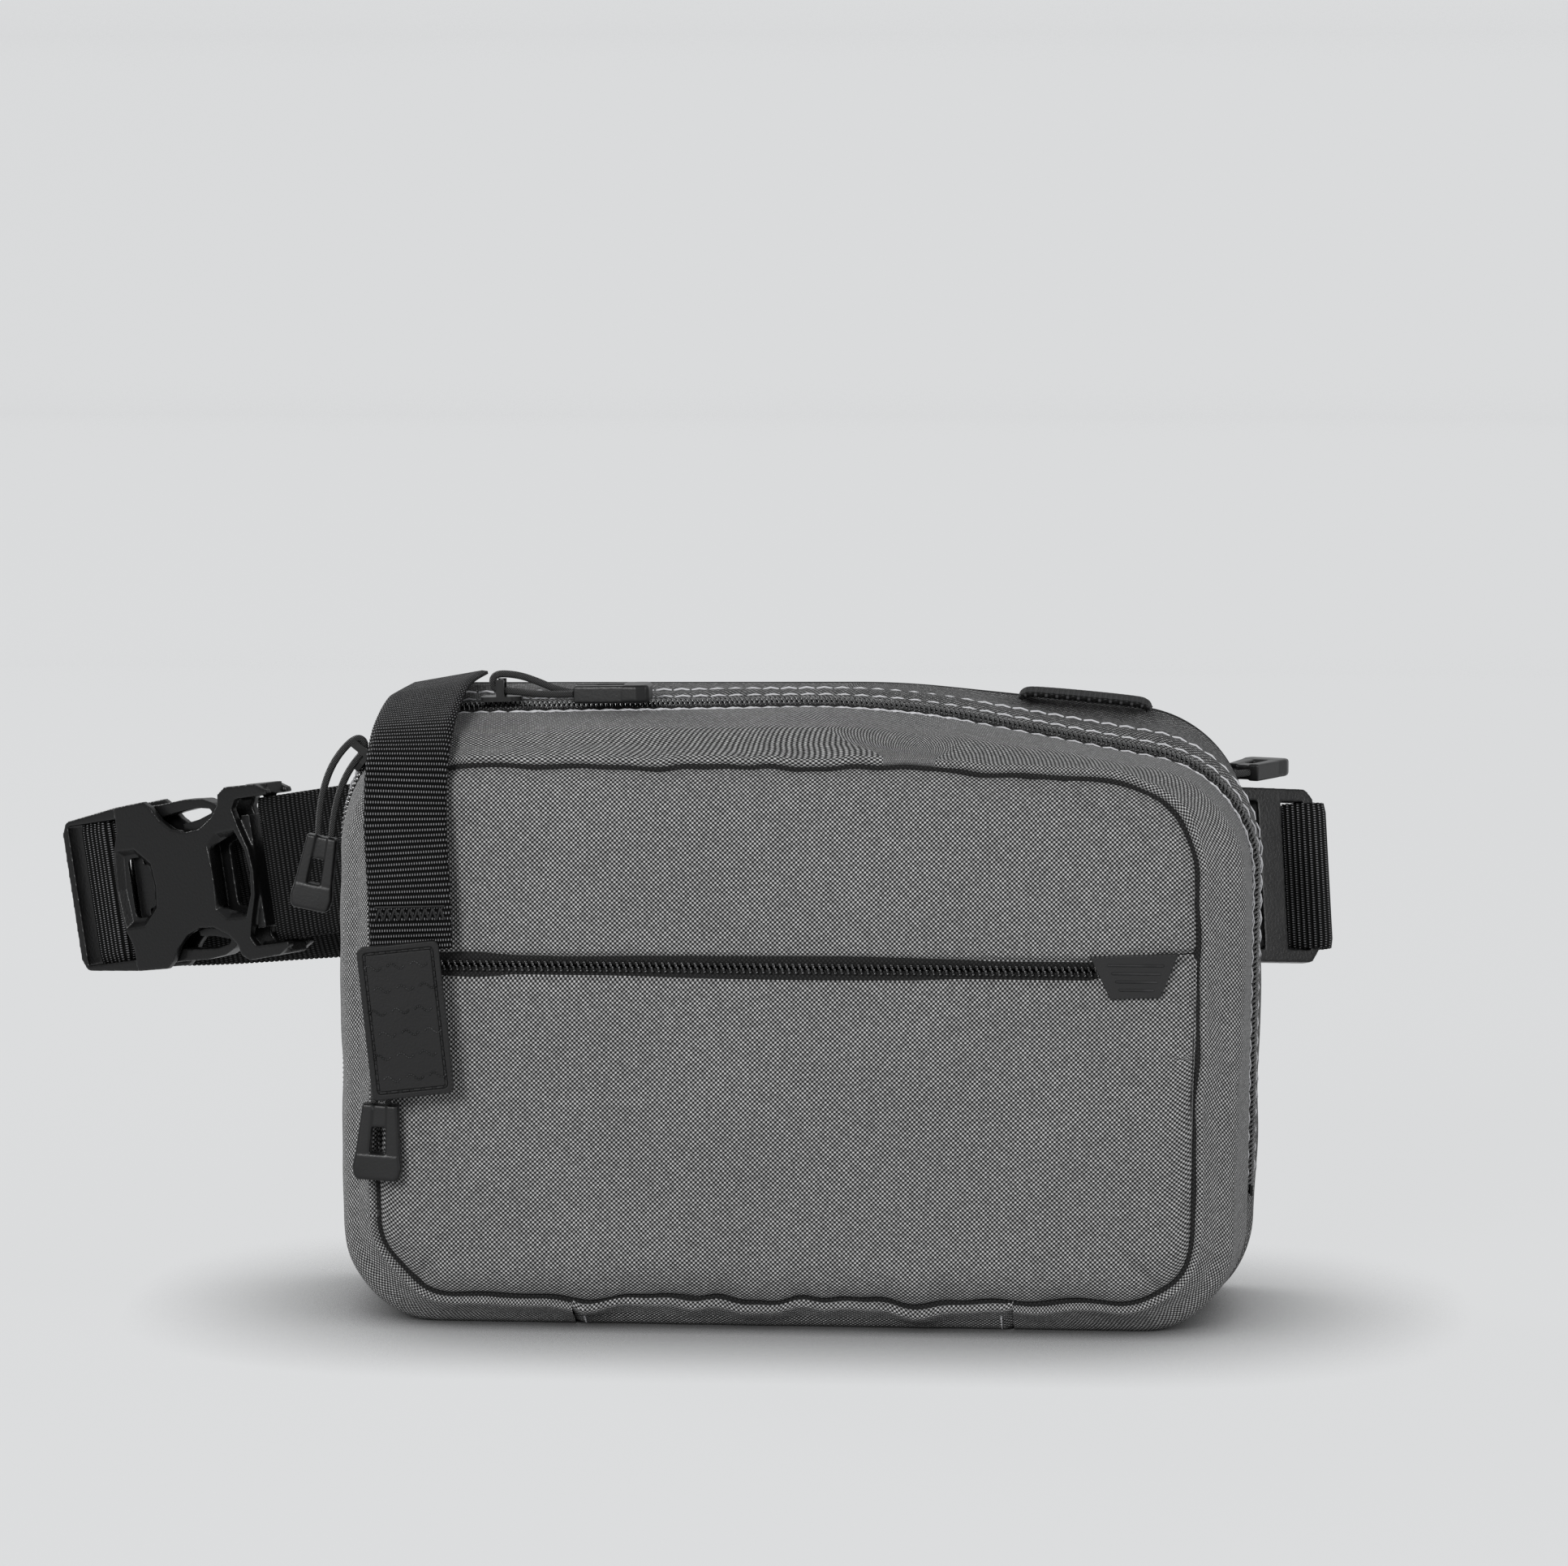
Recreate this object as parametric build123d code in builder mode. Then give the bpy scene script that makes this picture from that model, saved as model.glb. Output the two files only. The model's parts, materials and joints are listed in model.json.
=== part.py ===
from build123d import *
import math
import os

os.makedirs("parts", exist_ok=True)

# ---------------------------------------------------------------- dimensions
# Belt bag. X to the wearer's left-hand side of the front view, -Y is the front,
# +Z up. Origin: middle of the flat base, on the surface it stands on. mm.
Y_SEAM_F = -34.0        # plane of the front panel seam
Y_BULGE = -24.0         # where the front gusset has reached the floor
Y_ZIP = 3.0             # half width of the main zip band
Y_SEAM_R = 34.0         # plane of the back panel seam
WALL = 3.0              # padded gusset thickness
ZIP_END_Z = 30.0        # height at which the main zip ends on both sides
BASE_X0, BASE_X1 = -53.0, 56.0   # joints of the base panel
BASE_TOP = 11.0

# outlines in the XZ plane: corner points and corner radii
OUT_A = [(-102, 6.8), (101, 6.8), (102, 137), (30, 141.2), (-102, 140.6)]
RAD_A = [21, 21, 26, 200, 24]
OUT_B = [(-111, 0), (110, 0), (111.5, 135.5), (26, 149), (-110, 146.5)]
RAD_B = [24, 24, 29, 200, 32]
OUT_0 = [(-114, 0), (113, 0), (114.5, 136), (22, 153.2), (-114, 150)]
RAD_0 = [24, 24, 30, 220, 34]
OUT_C = [(-112, 0), (111, 0), (112, 146.5), (24, 155), (-111, 154)]
RAD_C = [22, 22, 30, 220, 25]

FZ0, FZ1 = 88.8, 93.4   # front pocket zip slot, bottom and top
FZM = 0.5 * (FZ0 + FZ1)
FZX0, FZX1 = -94.0, 76.0
RZ = 131.0              # rear pocket zip height
RZX0, RZX1 = -74.0, 105.0

BELT_W = 37.6           # 38 mm webbing, net of play in its slots
WEB_T = 1.6             # webbing thickness

CORNER = (-80.0, 116.79)  # centre of the main zip's left corner arc
CORNER_R = 34.0


def inset_points(pts, d):
    """Corner points of the same outline, moved inward by d."""
    n = len(pts)
    lines = []
    for i in range(n):
        (x0, z0), (x1, z1) = pts[i], pts[(i + 1) % n]
        length = math.hypot(x1 - x0, z1 - z0)
        nx, nz = -(z1 - z0) / length, (x1 - x0) / length
        lines.append((x0 + nx * d, z0 + nz * d, (x1 - x0) / length, (z1 - z0) / length))
    out = []
    for i in range(n):
        ax, az, adx, adz = lines[i - 1]
        bx, bz, bdx, bdz = lines[i]
        det = adx * bdz - adz * bdx
        t = ((bx - ax) * bdz - (bz - az) * bdx) / det
        out.append((ax + adx * t, az + adz * t))
    return out


def outline(y, pts, radii, d=0.0):
    """Closed rounded outline on the plane Y = y, moved inward by d."""
    moved = inset_points(pts, d)
    with BuildSketch(Plane.XZ.offset(-y)) as sk:
        with BuildLine():
            FilletPolyline(*moved, radius=[max(r - d, 1.0) for r in radii], close=True)
        make_face()
    return sk.sketch.face()


def ring(stations, outer=0.0, inner=WALL):
    """Hollow band through a list of (y, points, radii), open at both ends."""
    with BuildPart() as band:
        loft(sections=[outline(y, p, r, outer) for y, p, r in stations], ruled=True)
        loft(sections=[outline(y, p, r, inner) for y, p, r in stations], ruled=True,
             mode=Mode.SUBTRACT)
    return band.part


def block(x0, x1, y0, y1, z0, z1):
    """Axis-aligned block from its limits, for cutting."""
    return Pos((x0 + x1) / 2, (y0 + y1) / 2, (z0 + z1) / 2) * Box(x1 - x0, y1 - y0, z1 - z0, mode=Mode.PRIVATE)


def save(builder, name):
    builder.part.label = name
    export_step(builder.part, "parts/" + name + ".step")


FRONT = [(Y_SEAM_F, OUT_A, RAD_A), (Y_BULGE, OUT_B, RAD_B), (-Y_ZIP, OUT_0, RAD_0)]
BAND_F = [(-Y_ZIP, OUT_0, RAD_0), (0.0, OUT_0, RAD_0)]
BAND_R = [(0.0, OUT_0, RAD_0), (Y_ZIP, OUT_0, RAD_0)]
REAR = [(Y_ZIP, OUT_0, RAD_0), (Y_SEAM_R, OUT_C, RAD_C)]

front_ring = ring(FRONT)
rear_ring = ring(REAR)
band_front = ring(BAND_F)
band_rear = ring(BAND_R)
base_cut = block(BASE_X0, BASE_X1, -60, 60, -5, BASE_TOP)
zip_zone = block(-140, 140, -10, 10, ZIP_END_Z, 200)

# ---------------------------------------------------------------- bag shell
with BuildPart() as front_gusset:
    add(front_ring)
    add(band_front - zip_zone)
    add(base_cut, mode=Mode.SUBTRACT)
save(front_gusset, "front_gusset")

with BuildPart() as rear_gusset:
    add(rear_ring)
    add(band_rear - zip_zone)
    add(base_cut, mode=Mode.SUBTRACT)
save(rear_gusset, "rear_gusset")

with BuildPart() as base_panel:
    add(front_ring)
    add(band_front)
    add(band_rear)
    add(rear_ring)
    add(base_cut, mode=Mode.INTERSECT)
save(base_panel, "base_panel")

# thin liner inside the gussets, open along the main zip
with BuildPart() as main_lining:
    add(ring([FRONT[1], FRONT[2]], WALL, WALL + 0.6))
    add(ring(BAND_F, WALL, WALL + 0.6))
    add(ring(BAND_R, WALL, WALL + 0.6))
    add(ring(REAR, WALL, WALL + 0.6))
    add(block(-140, 140, -Y_ZIP, Y_ZIP, ZIP_END_Z, 200), mode=Mode.SUBTRACT)
save(main_lining, "main_lining")

# fabric wall between the front pocket and the main compartment
with BuildPart() as pocket_divider:
    loft(sections=[outline(Y_SEAM_F, OUT_A, RAD_A, WALL), outline(Y_BULGE, OUT_B, RAD_B, WALL)],
         ruled=True)
    add(block(-150, 150, -28.2, -27.0, -10, 200), mode=Mode.INTERSECT)
save(pocket_divider, "pocket_divider")

# front panel: crowned pad inside the piping, in two panels with a zip slot
crown = Part()
with BuildPart() as crown_pad:
    loft(sections=[outline(Y_SEAM_F, OUT_A, RAD_A, 1.5), outline(-35.6, OUT_A, RAD_A, 1.5),
                   outline(-38.4, OUT_A, RAD_A, 7.0), outline(-39.2, OUT_A, RAD_A, 18.0)],
         ruled=True)
crown = crown_pad.part
zip_slot = block(FZX0, FZX1, -60, 0, FZ0, FZ1)

with BuildPart() as front_upper_panel:
    add(crown)
    add(block(-150, 150, -60, 0, -10, FZM), mode=Mode.SUBTRACT)
    add(zip_slot, mode=Mode.SUBTRACT)
save(front_upper_panel, "front_upper_panel")

with BuildPart() as front_lower_panel:
    add(crown)
    add(block(-150, 150, -60, 0, FZM, 220), mode=Mode.SUBTRACT)
    add(zip_slot, mode=Mode.SUBTRACT)
save(front_lower_panel, "front_lower_panel")

with BuildPart() as front_piping:
    extrude(outline(Y_SEAM_F, OUT_A, RAD_A, -0.4), amount=1.6)
    extrude(outline(Y_SEAM_F, OUT_A, RAD_A, 1.5), amount=1.6, mode=Mode.SUBTRACT)
save(front_piping, "front_piping")

# back panel: liner, foam and cover, with a bound edge
with BuildPart() as back_lining:
    extrude(outline(Y_SEAM_R, OUT_C, RAD_C, 1.5), amount=-0.8)
save(back_lining, "back_lining")

with BuildPart() as back_foam:
    extrude(outline(Y_SEAM_R + 0.8, OUT_C, RAD_C, 1.5), amount=-2.0)
save(back_foam, "back_foam")

with BuildPart() as back_panel:
    loft(sections=[outline(Y_SEAM_R + 2.8, OUT_C, RAD_C, 1.5),
                   outline(Y_SEAM_R + 4.4, OUT_C, RAD_C, 6.0)], ruled=True)
save(back_panel, "back_panel")

with BuildPart() as rear_binding:
    extrude(outline(Y_SEAM_R, OUT_C, RAD_C, 0.0), amount=-2.8)
    extrude(outline(Y_SEAM_R, OUT_C, RAD_C, 1.5), amount=-2.8, mode=Mode.SUBTRACT)
save(rear_binding, "rear_binding")


# ---------------------------------------------------------------- main zip
def zip_band(y0, y1, outer, inner):
    part = ring([(y0, OUT_0, RAD_0), (y1, OUT_0, RAD_0)], outer, inner)
    return part & zip_zone


with BuildPart() as main_zip_tape_front:
    add(zip_band(-3.0, -1.2, 0.8, 1.8))
save(main_zip_tape_front, "main_zip_tape_front")

with BuildPart() as main_zip_tape_rear:
    add(zip_band(1.2, 3.0, 0.8, 1.8))
save(main_zip_tape_rear, "main_zip_tape_rear")

with BuildPart() as main_zip_coil_front:
    add(zip_band(-1.2, 0.0, -0.3, 1.8))
save(main_zip_coil_front, "main_zip_coil_front")

with BuildPart() as main_zip_coil_rear:
    add(zip_band(0.0, 1.2, -0.3, 1.8))
save(main_zip_coil_rear, "main_zip_coil_rear")


# ---------------------------------------------------------------- front zip
with BuildPart() as front_zip_tape_upper:
    add(block(FZX0, FZX1, -38.4, -36.8, FZM + 1.2, FZ1))
save(front_zip_tape_upper, "front_zip_tape_upper")

with BuildPart() as front_zip_tape_lower:
    add(block(FZX0, FZX1, -38.4, -36.8, FZ0, FZM - 1.2))
save(front_zip_tape_lower, "front_zip_tape_lower")

with BuildPart() as front_zip_coil_upper:
    add(block(FZX0, FZX1, -39.3, -36.8, FZM, FZM + 1.2))
save(front_zip_coil_upper, "front_zip_coil_upper")

with BuildPart() as front_zip_coil_lower:
    add(block(FZX0, FZX1, -39.3, -36.8, FZM - 1.2, FZM))
save(front_zip_coil_lower, "front_zip_coil_lower")

# ---------------------------------------------------------------- rear zip
YB = Y_SEAM_R + 4.4     # outer face of the back panel
with BuildPart() as rear_zip_tape:
    add(block(RZX0, RZX1 - 6, YB, YB + 0.8, RZ - 4.0, RZ + 4.0))
save(rear_zip_tape, "rear_zip_tape")

with BuildPart() as rear_zip_coil:
    add(block(RZX0, RZX1 - 6, YB + 0.8, YB + 2.0, RZ - 1.3, RZ + 1.3))
save(rear_zip_coil, "rear_zip_coil")


# ---------------------------------------------------------------- front strap
def strap_section(left, right, normal, t):
    """Thin rectangle between two edge points, t thick along normal."""
    a, b = Vector(*left), Vector(*right)
    n = Vector(*normal)
    along = (b - a).normalized()
    n = (n - along * n.dot(along)).normalized() * t
    wire = Wire.make_polygon([a, b, b + n, a + n], close=True)
    return Face(wire)


STRAP = [((-102.0, 34.0, 152.6), (-82.0, 34.0, 156.2), (0, 0, 1)),
         ((-101.8, 10.0, 152.8), (-81.8, 10.0, 156.4), (0, 0, 1)),
         ((-101.6, -6.0, 152.6), (-81.6, -6.0, 155.8), (0, -0.2, 1)),
         ((-101.8, -20.0, 150.0), (-81.8, -20.0, 152.4), (0, -0.5, 0.87)),
         ((-102.0, -31.0, 146.0), (-82.0, -31.0, 147.8), (0, -0.62, 0.78)),
         ((-102.2, -39.0, 139.0), (-82.2, -39.0, 140.0), (0, -0.85, 0.52)),
         ((-102.3, -42.0, 126.0), (-82.3, -42.0, 126.4), (0, -0.97, 0.24)),
         ((-101.4, -43.0, 110.0), (-81.4, -43.0, 110.2), (0, -1, 0.1)),
         ((-101.0, -43.4, 99.2), (-81.0, -43.4, 99.2), (0, -1, 0.0))]
with BuildPart() as front_strap:
    loft(sections=[strap_section(*s, 1.5) for s in STRAP], ruled=True)
save(front_strap, "front_strap")

# zigzag bar tack across the strap, and the stack of folds under it that
# carries it down to the front panel
with BuildPart() as strap_bartack:
    add(block(-99.6, -82.6, -45.5, -44.95, 102.0, 105.0))
save(strap_bartack, "strap_bartack")

with BuildPart() as strap_fold:
    add(block(-99.8, -82.8, -42.7, -39.4, 101.4, 106.4))
save(strap_fold, "strap_fold")

# ---------------------------------------------------------------- strap patch
PATCH = Plane(origin=(-92.0, -47.4, 78.6), x_dir=(0.987, 0.10, 0.10), z_dir=(0.10, -0.995, 0.02))
with BuildPart() as strap_patch:
    with BuildSketch(PATCH.offset(-1.5)):
        RectangleRounded(20.0, 37.6, 1.6)
    extrude(amount=3.0)
save(strap_patch, "strap_patch")

# ---------------------------------------------------------------- zip tag
with BuildPart() as zip_tag:
    with BuildSketch(Plane.XZ.offset(39.9)):
        with BuildLine():
            FilletPolyline((74.4, 95.0), (95.8, 96.0), (91.6, 85.2), (79.4, 84.6),
                           radius=0.9, close=True)
        make_face()
    extrude(amount=1.4)
save(zip_tag, "zip_tag")

# small stop pieces at the closed ends of the main zip
with BuildPart() as main_zip_stops:
    add(block(-115.1, -114.4, -1.6, 1.6, ZIP_END_Z, ZIP_END_Z + 2.4))
    add(block(113.8, 114.5, -1.6, 1.6, ZIP_END_Z, ZIP_END_Z + 2.4))
save(main_zip_stops, "main_zip_stops")

# ---------------------------------------------------------------- haul loop
HAUL = [((54.8, 33.4, 152.5), (54.8, 20.0, 152.3), (-0.4, 0, 1)),
        ((57.5, 33.5, 153.9), (57.5, 20.0, 153.7), (0, 0, 1)),
        ((70.0, 33.5, 152.7), (70.0, 20.0, 152.5), (0.1, 0, 1)),
        ((83.5, 33.5, 151.2), (83.5, 20.0, 151.0), (0.2, 0, 1)),
        ((87.0, 33.4, 149.5), (87.0, 20.0, 149.3), (0.5, 0, 1))]
with BuildPart() as haul_loop:
    loft(sections=[strap_section(*s, 1.4) for s in HAUL], ruled=True)
save(haul_loop, "haul_loop")

# ---------------------------------------------------------------- buckle frame
# local axes: x from the male end towards the bag, y up across the webbing,
# z out of the front of the buckle
BUCKLE = Plane(origin=(-168.3, 74.5, 97.7),
               x_dir=(math.cos(math.radians(10)) * math.cos(math.radians(29)),
                      -math.cos(math.radians(10)) * math.sin(math.radians(29)),
                      math.sin(math.radians(10))),
               z_dir=(-math.sin(math.radians(29)), -math.cos(math.radians(29)), 0))
# plane that looks along the buckle's y, for webbing profiles drawn in x and z
BUCKLE_XZ = Plane(origin=BUCKLE.origin, x_dir=BUCKLE.x_dir, z_dir=-BUCKLE.y_dir)


def female_plate(height):
    """X-shaped plate outline with its two windows, at a height above the middle plane."""
    half = [(-20.4, 0.0), (-20.2, 6.0), (-19.2, 11.0), (-17.4, 15.5), (-17.2, 22.0),
            (-7.0, 22.4), (-4.6, 20.6), (-2.0, 17.0), (1.5, 14.2), (6.0, 12.8),
            (11.0, 13.2), (15.6, 15.6), (18.4, 18.8), (19.0, 21.4), (21.5, 23.0),
            (31.5, 22.6), (35.4, 20.6), (35.4, 19.4), (24.6, 19.4), (23.0, 17.0), (24.4, 12.0),
            (26.6, 6.0), (27.2, 0.0)]
    pts = half + [(x, -y) for x, y in reversed(half[1:-1])]
    with BuildSketch(BUCKLE.offset(height)) as sk:
        with BuildLine():
            Polyline(*pts, close=True)
        make_face()
        with BuildLine():
            FilletPolyline((-16.4, 8.0), (-11.0, 8.0), (-8.8, 3.0), (-8.8, -3.0), (-11.0, -8.0),
                           (-16.4, -8.0), radius=1.5, close=True)
        make_face(mode=Mode.SUBTRACT)
        with BuildLine():
            FilletPolyline((13.4, 8.0), (22.0, 11.0), (24.4, 6.0), (24.8, 0.0), (24.4, -6.0),
                           (22.0, -11.0), (13.4, -8.0), radius=1.2, close=True)
        make_face(mode=Mode.SUBTRACT)
    return sk.sketch.face()


with BuildPart() as buckle_female:
    # front and back plates
    extrude(female_plate(3.2), amount=2.3)
    extrude(female_plate(-5.5), amount=2.3)
    # solid core between the plates
    with BuildSketch(BUCKLE.offset(-3.4)):
        with Locations((3.5, 0)):
            Rectangle(13, 17)
        with Locations((25.6, 0)):
            Rectangle(2.8, 30)
    extrude(amount=6.8)
    # side arms that carry the webbing bar
    with BuildSketch(BUCKLE.offset(-3.4)):
        with Locations((27.2, 21.0), (27.2, -21.0)):
            Rectangle(14.0, 3.0)
    extrude(amount=6.8)
    # webbing bar
    with BuildSketch(Plane(origin=BUCKLE.from_local_coords(Vector(32.2, -21.0, 0)),
                           x_dir=BUCKLE.x_dir, z_dir=BUCKLE.y_dir)):
        Circle(1.7)
    extrude(amount=42.0)
save(buckle_female, "buckle_female")

with BuildPart() as buckle_male:
    # outer frame of the base
    with BuildSketch(BUCKLE.offset(-4.6)):
        with BuildLine():
            FilletPolyline((-37.0, 17.0), (-35.4, 20.2), (-17.8, 22.0), (-17.8, 18.9),
                           (-34.8, 18.9), (-34.8, -18.9), (-17.8, -18.9), (-17.8, -22.0),
                           (-35.4, -20.2), (-37.0, -17.0),
                           radius=[2.0, 2.0, 0.3, 0.3, 0.5, 0.5, 0.3, 0.3, 2.0, 2.0], close=True)
        make_face()
    extrude(amount=9.2)
    # webbing bar across the base
    with BuildSketch(BUCKLE.offset(-1.7)):
        with Locations((-26.4, 0)):
            Rectangle(8.0, 38.6)
    extrude(amount=3.4)
    # rails run on between the plates, to the root bar and the middle tongue
    with BuildSketch(BUCKLE.offset(-2.7)):
        with Locations((-17.4, 20.3), (-17.4, -20.3)):
            Rectangle(1.6, 2.6)
        with Locations((-14.9, 0)):
            Rectangle(3.6, 43.0)
        with Locations((-9.6, 0)):
            Rectangle(7.4, 12.0)
    extrude(amount=5.4)
save(buckle_male, "buckle_male")


def prong(sign):
    """One spring arm with its outer press face and hooked tip."""
    pts = [(-12.7, 21.2), (-4.0, 21.0), (5.0, 21.4), (11.0, 20.9), (14.6, 19.4), (17.0, 17.4),
           (17.2, 15.8), (12.0, 13.4), (6.0, 12.6), (3.2, 13.2), (3.6, 15.0), (9.0, 15.6),
           (14.0, 16.9), (13.2, 18.0), (9.0, 18.7), (3.0, 18.3), (-4.0, 17.6), (-12.7, 17.0)]
    if sign < 0:
        pts = [(x, -y) for x, y in pts]
    with BuildPart() as arm:
        with BuildSketch(BUCKLE.offset(-2.6)):
            with BuildLine():
                Polyline(*pts, close=True)
            make_face()
        extrude(amount=5.2)
    return arm


buckle_prong_upper = prong(1)
save(buckle_prong_upper, "buckle_prong_upper")
buckle_prong_lower = prong(-1)
save(buckle_prong_lower, "buckle_prong_lower")

# webbing sewn into a loop round the female half's bar, running to the bag
with BuildPart() as left_webbing:
    with BuildSketch(BUCKLE_XZ.offset(-BELT_W / 2)):
        with BuildLine():
            l1 = Polyline((32.2, 3.6), (41.0, WEB_T), (69.0, WEB_T), (69.0, -WEB_T),
                          (41.0, -WEB_T), (32.2, -3.6))
            ThreePointArc((32.2, -3.6), (28.6, 0), (32.2, 3.6))
        make_face()
        with BuildLine():
            Polyline((32.2, 2.0), (39.0, 0), (32.2, -2.0))
            ThreePointArc((32.2, -2.0), (30.2, 0), (32.2, 2.0))
        make_face(mode=Mode.SUBTRACT)
    extrude(amount=BELT_W)
save(left_webbing, "left_webbing")

# webbing folded round the male half's bar
with BuildPart() as male_webbing_loop:
    with BuildSketch(BUCKLE_XZ.offset(-BELT_W / 2)):
        with Locations((-26.4, 0)):
            RectangleRounded(11.8, 8.0, 3.2)
            RectangleRounded(11.8 - 2 * WEB_T, 8.0 - 2 * WEB_T, 1.6, mode=Mode.SUBTRACT)
    extrude(amount=BELT_W)
save(male_webbing_loop, "male_webbing_loop")

# stitched foot of the left webbing on the back panel
with BuildPart() as left_anchor_patch:
    add(block(-100.5, -78.0, YB, YB + WEB_T, 92.0, 126.0))
save(left_anchor_patch, "left_anchor_patch")

# ---------------------------------------------------------------- long belt
BELT = [((-186.5, 93.2, 91.2), 0.0), ((-168.0, 86.0, 92.0), -8.0), ((-140.0, 77.5, 93.4), -22.0),
        ((-110.0, 71.0, 97.0), -16.0), ((-75.0, 66.0, 101.0), -6.0), ((-38.0, 63.4, 103.0), 0.0),
        ((0.0, 62.6, 104.0), 2.0), ((38.0, 62.8, 104.4), 6.0), ((75.0, 64.4, 104.2), 10.0),
        ((104.0, 66.6, 103.6), 12.0)]


def belt_sections(route, width, t):
    """Thin upright rectangles across the route; the angle leans the top back."""
    out = []
    for i, (p, lean) in enumerate(route):
        a = Vector(*route[max(i - 1, 0)][0])
        b = Vector(*route[min(i + 1, len(route) - 1)][0])
        along = (b - a).normalized()
        up = Vector(0, 0, 1)
        up = (up - along * up.dot(along)).normalized()
        side = along.cross(up)
        c, s = math.cos(math.radians(lean)), math.sin(math.radians(lean))
        across = up * c - side * s
        normal = along.cross(across)
        mid = Vector(*p)
        corner = mid - across * (width / 2) - normal * (t / 2)
        out.append(Face(Wire.make_polygon([corner, corner + across * width,
                                           corner + across * width + normal * t,
                                           corner + normal * t], close=True)))
    return out


with BuildPart() as long_belt:
    loft(sections=belt_sections(BELT, BELT_W, WEB_T), ruled=True)
save(long_belt, "long_belt")

# ---------------------------------------------------------------- adjuster
ADJ = Plane(origin=(118.0, 56.0, 103.9), x_dir=(0.785, 0.614, -0.085), z_dir=(0.635, -0.782, 0.214))
ADJ_XZ = Plane(origin=ADJ.origin, x_dir=ADJ.x_dir, z_dir=-ADJ.y_dir)
with BuildPart() as adjuster_frame:
    with BuildSketch(ADJ.offset(-1.8)):
        with BuildLine():
            FilletPolyline((-14.0, 22.6), (12.0, 22.6), (14.6, 20.0), (14.6, -18.5), (11.5, -22.6),
                           (-14.0, -22.6), radius=[2.5, 2.0, 2.0, 2.0, 2.0, 2.5], close=True)
        make_face()
        with Locations((-7.6, 0), (7.4, 0)):
            Rectangle(7.2, 38.4, mode=Mode.SUBTRACT)
    extrude(amount=3.6)
save(adjuster_frame, "adjuster_frame")

# webbing wrapped round the adjuster's outer bar
with BuildPart() as adjuster_webbing_loop:
    with BuildSketch(ADJ_XZ.offset(-BELT_W / 2)):
        with Locations((12.9, 0)):
            RectangleRounded(10.2, 8.6, 3.4)
            RectangleRounded(10.2 - 2 * WEB_T, 8.6 - 2 * WEB_T, 1.8, mode=Mode.SUBTRACT)
    extrude(amount=BELT_W)
save(adjuster_webbing_loop, "adjuster_webbing_loop")

# webbing folded round the adjuster's inner bar, and its stitched foot on the bag
with BuildPart() as right_anchor_webbing:
    with BuildSketch(ADJ_XZ.offset(-BELT_W / 2)):
        with Locations((-12.6, 0)):
            RectangleRounded(9.4, 8.6, 3.4)
            RectangleRounded(9.4 - 2 * WEB_T, 8.6 - 2 * WEB_T, 1.8, mode=Mode.SUBTRACT)
    extrude(amount=BELT_W)
save(right_anchor_webbing, "right_anchor_webbing")


with BuildPart() as right_anchor_patch:
    add(block(82.0, 102.5, YB, YB + WEB_T, 86.0, 123.6))
save(right_anchor_patch, "right_anchor_patch")


# ---------------------------------------------------------------- zip sliders
BAR_H = 5.0             # pull bar above the coil


def slider(at, zdir, out, peg):
    """Slider straddling a coil: plate, two flanges, and a pull bar on posts.
    at: point on the coil's outer face; zdir: along the zip; out: away from it.
    peg: True for a bar that stands straight out, False for one across the zip."""
    base = Plane(origin=at, x_dir=zdir, z_dir=out)
    with BuildPart() as body:
        with BuildSketch(base.offset(0.35)):
            with BuildLine():
                FilletPolyline((-5.0, -3.2), (3.0, -3.2), (5.2, -1.6), (5.2, 1.6), (3.0, 3.2),
                               (-5.0, 3.2), radius=0.9, close=True)
            make_face()
        extrude(amount=1.2)
        if peg:
            with BuildSketch(base.offset(1.2)):
                Circle(0.8)
            extrude(amount=3.0)
            with BuildSketch(base.offset(3.9)):
                Circle(1.9)
            extrude(amount=0.7)
        else:
            with BuildSketch(base.offset(1.2)):
                with Locations((0, 2.5), (0, -2.5)):
                    Rectangle(2.0, 1.0)
            extrude(amount=4.6)
            with BuildSketch(Plane(origin=base.from_local_coords(Vector(0, -3.0, BAR_H)),
                                   x_dir=zdir, z_dir=base.y_dir)):
                Circle(0.7)
            extrude(amount=6.0)
    return body


def pull_tab(top, down, face):
    """Moulded tab: top is the middle of its cord end, down its long axis."""
    frame = Plane(origin=top, x_dir=Vector(*face).cross(Vector(*down)), z_dir=face)
    with BuildPart() as tab:
        with BuildSketch(frame.offset(-2.2)):
            with BuildLine():
                FilletPolyline((-4.3, 0), (4.3, 0), (6.0, -16.0), (5.2, -19.0), (-5.2, -19.0),
                               (-6.0, -16.0), radius=[0.8, 0.8, 1.0, 1.6, 1.6, 1.0], close=True)
            make_face()
            with Locations((0, -9.2)):
                RectangleRounded(3.6, 7.0, 0.8, mode=Mode.SUBTRACT)
        extrude(amount=4.4)
    return tab


def pull_cord(points, radii, dia):
    with BuildPart() as cord:
        with BuildLine() as path:
            FilletPolyline(*points, radius=radii)
        route = path.wire()
        with BuildSketch(Plane(origin=route @ 0, z_dir=route % 0)):
            Circle(dia / 2)
        sweep(path=route)
    want = math.pi * dia * dia / 4 * route.length
    print("cord: length %.1f, volume %.2f of %.2f, radii %s"
          % (route.length, cord.part.volume, want, radii))
    return cord


CORD = 1.8

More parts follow.
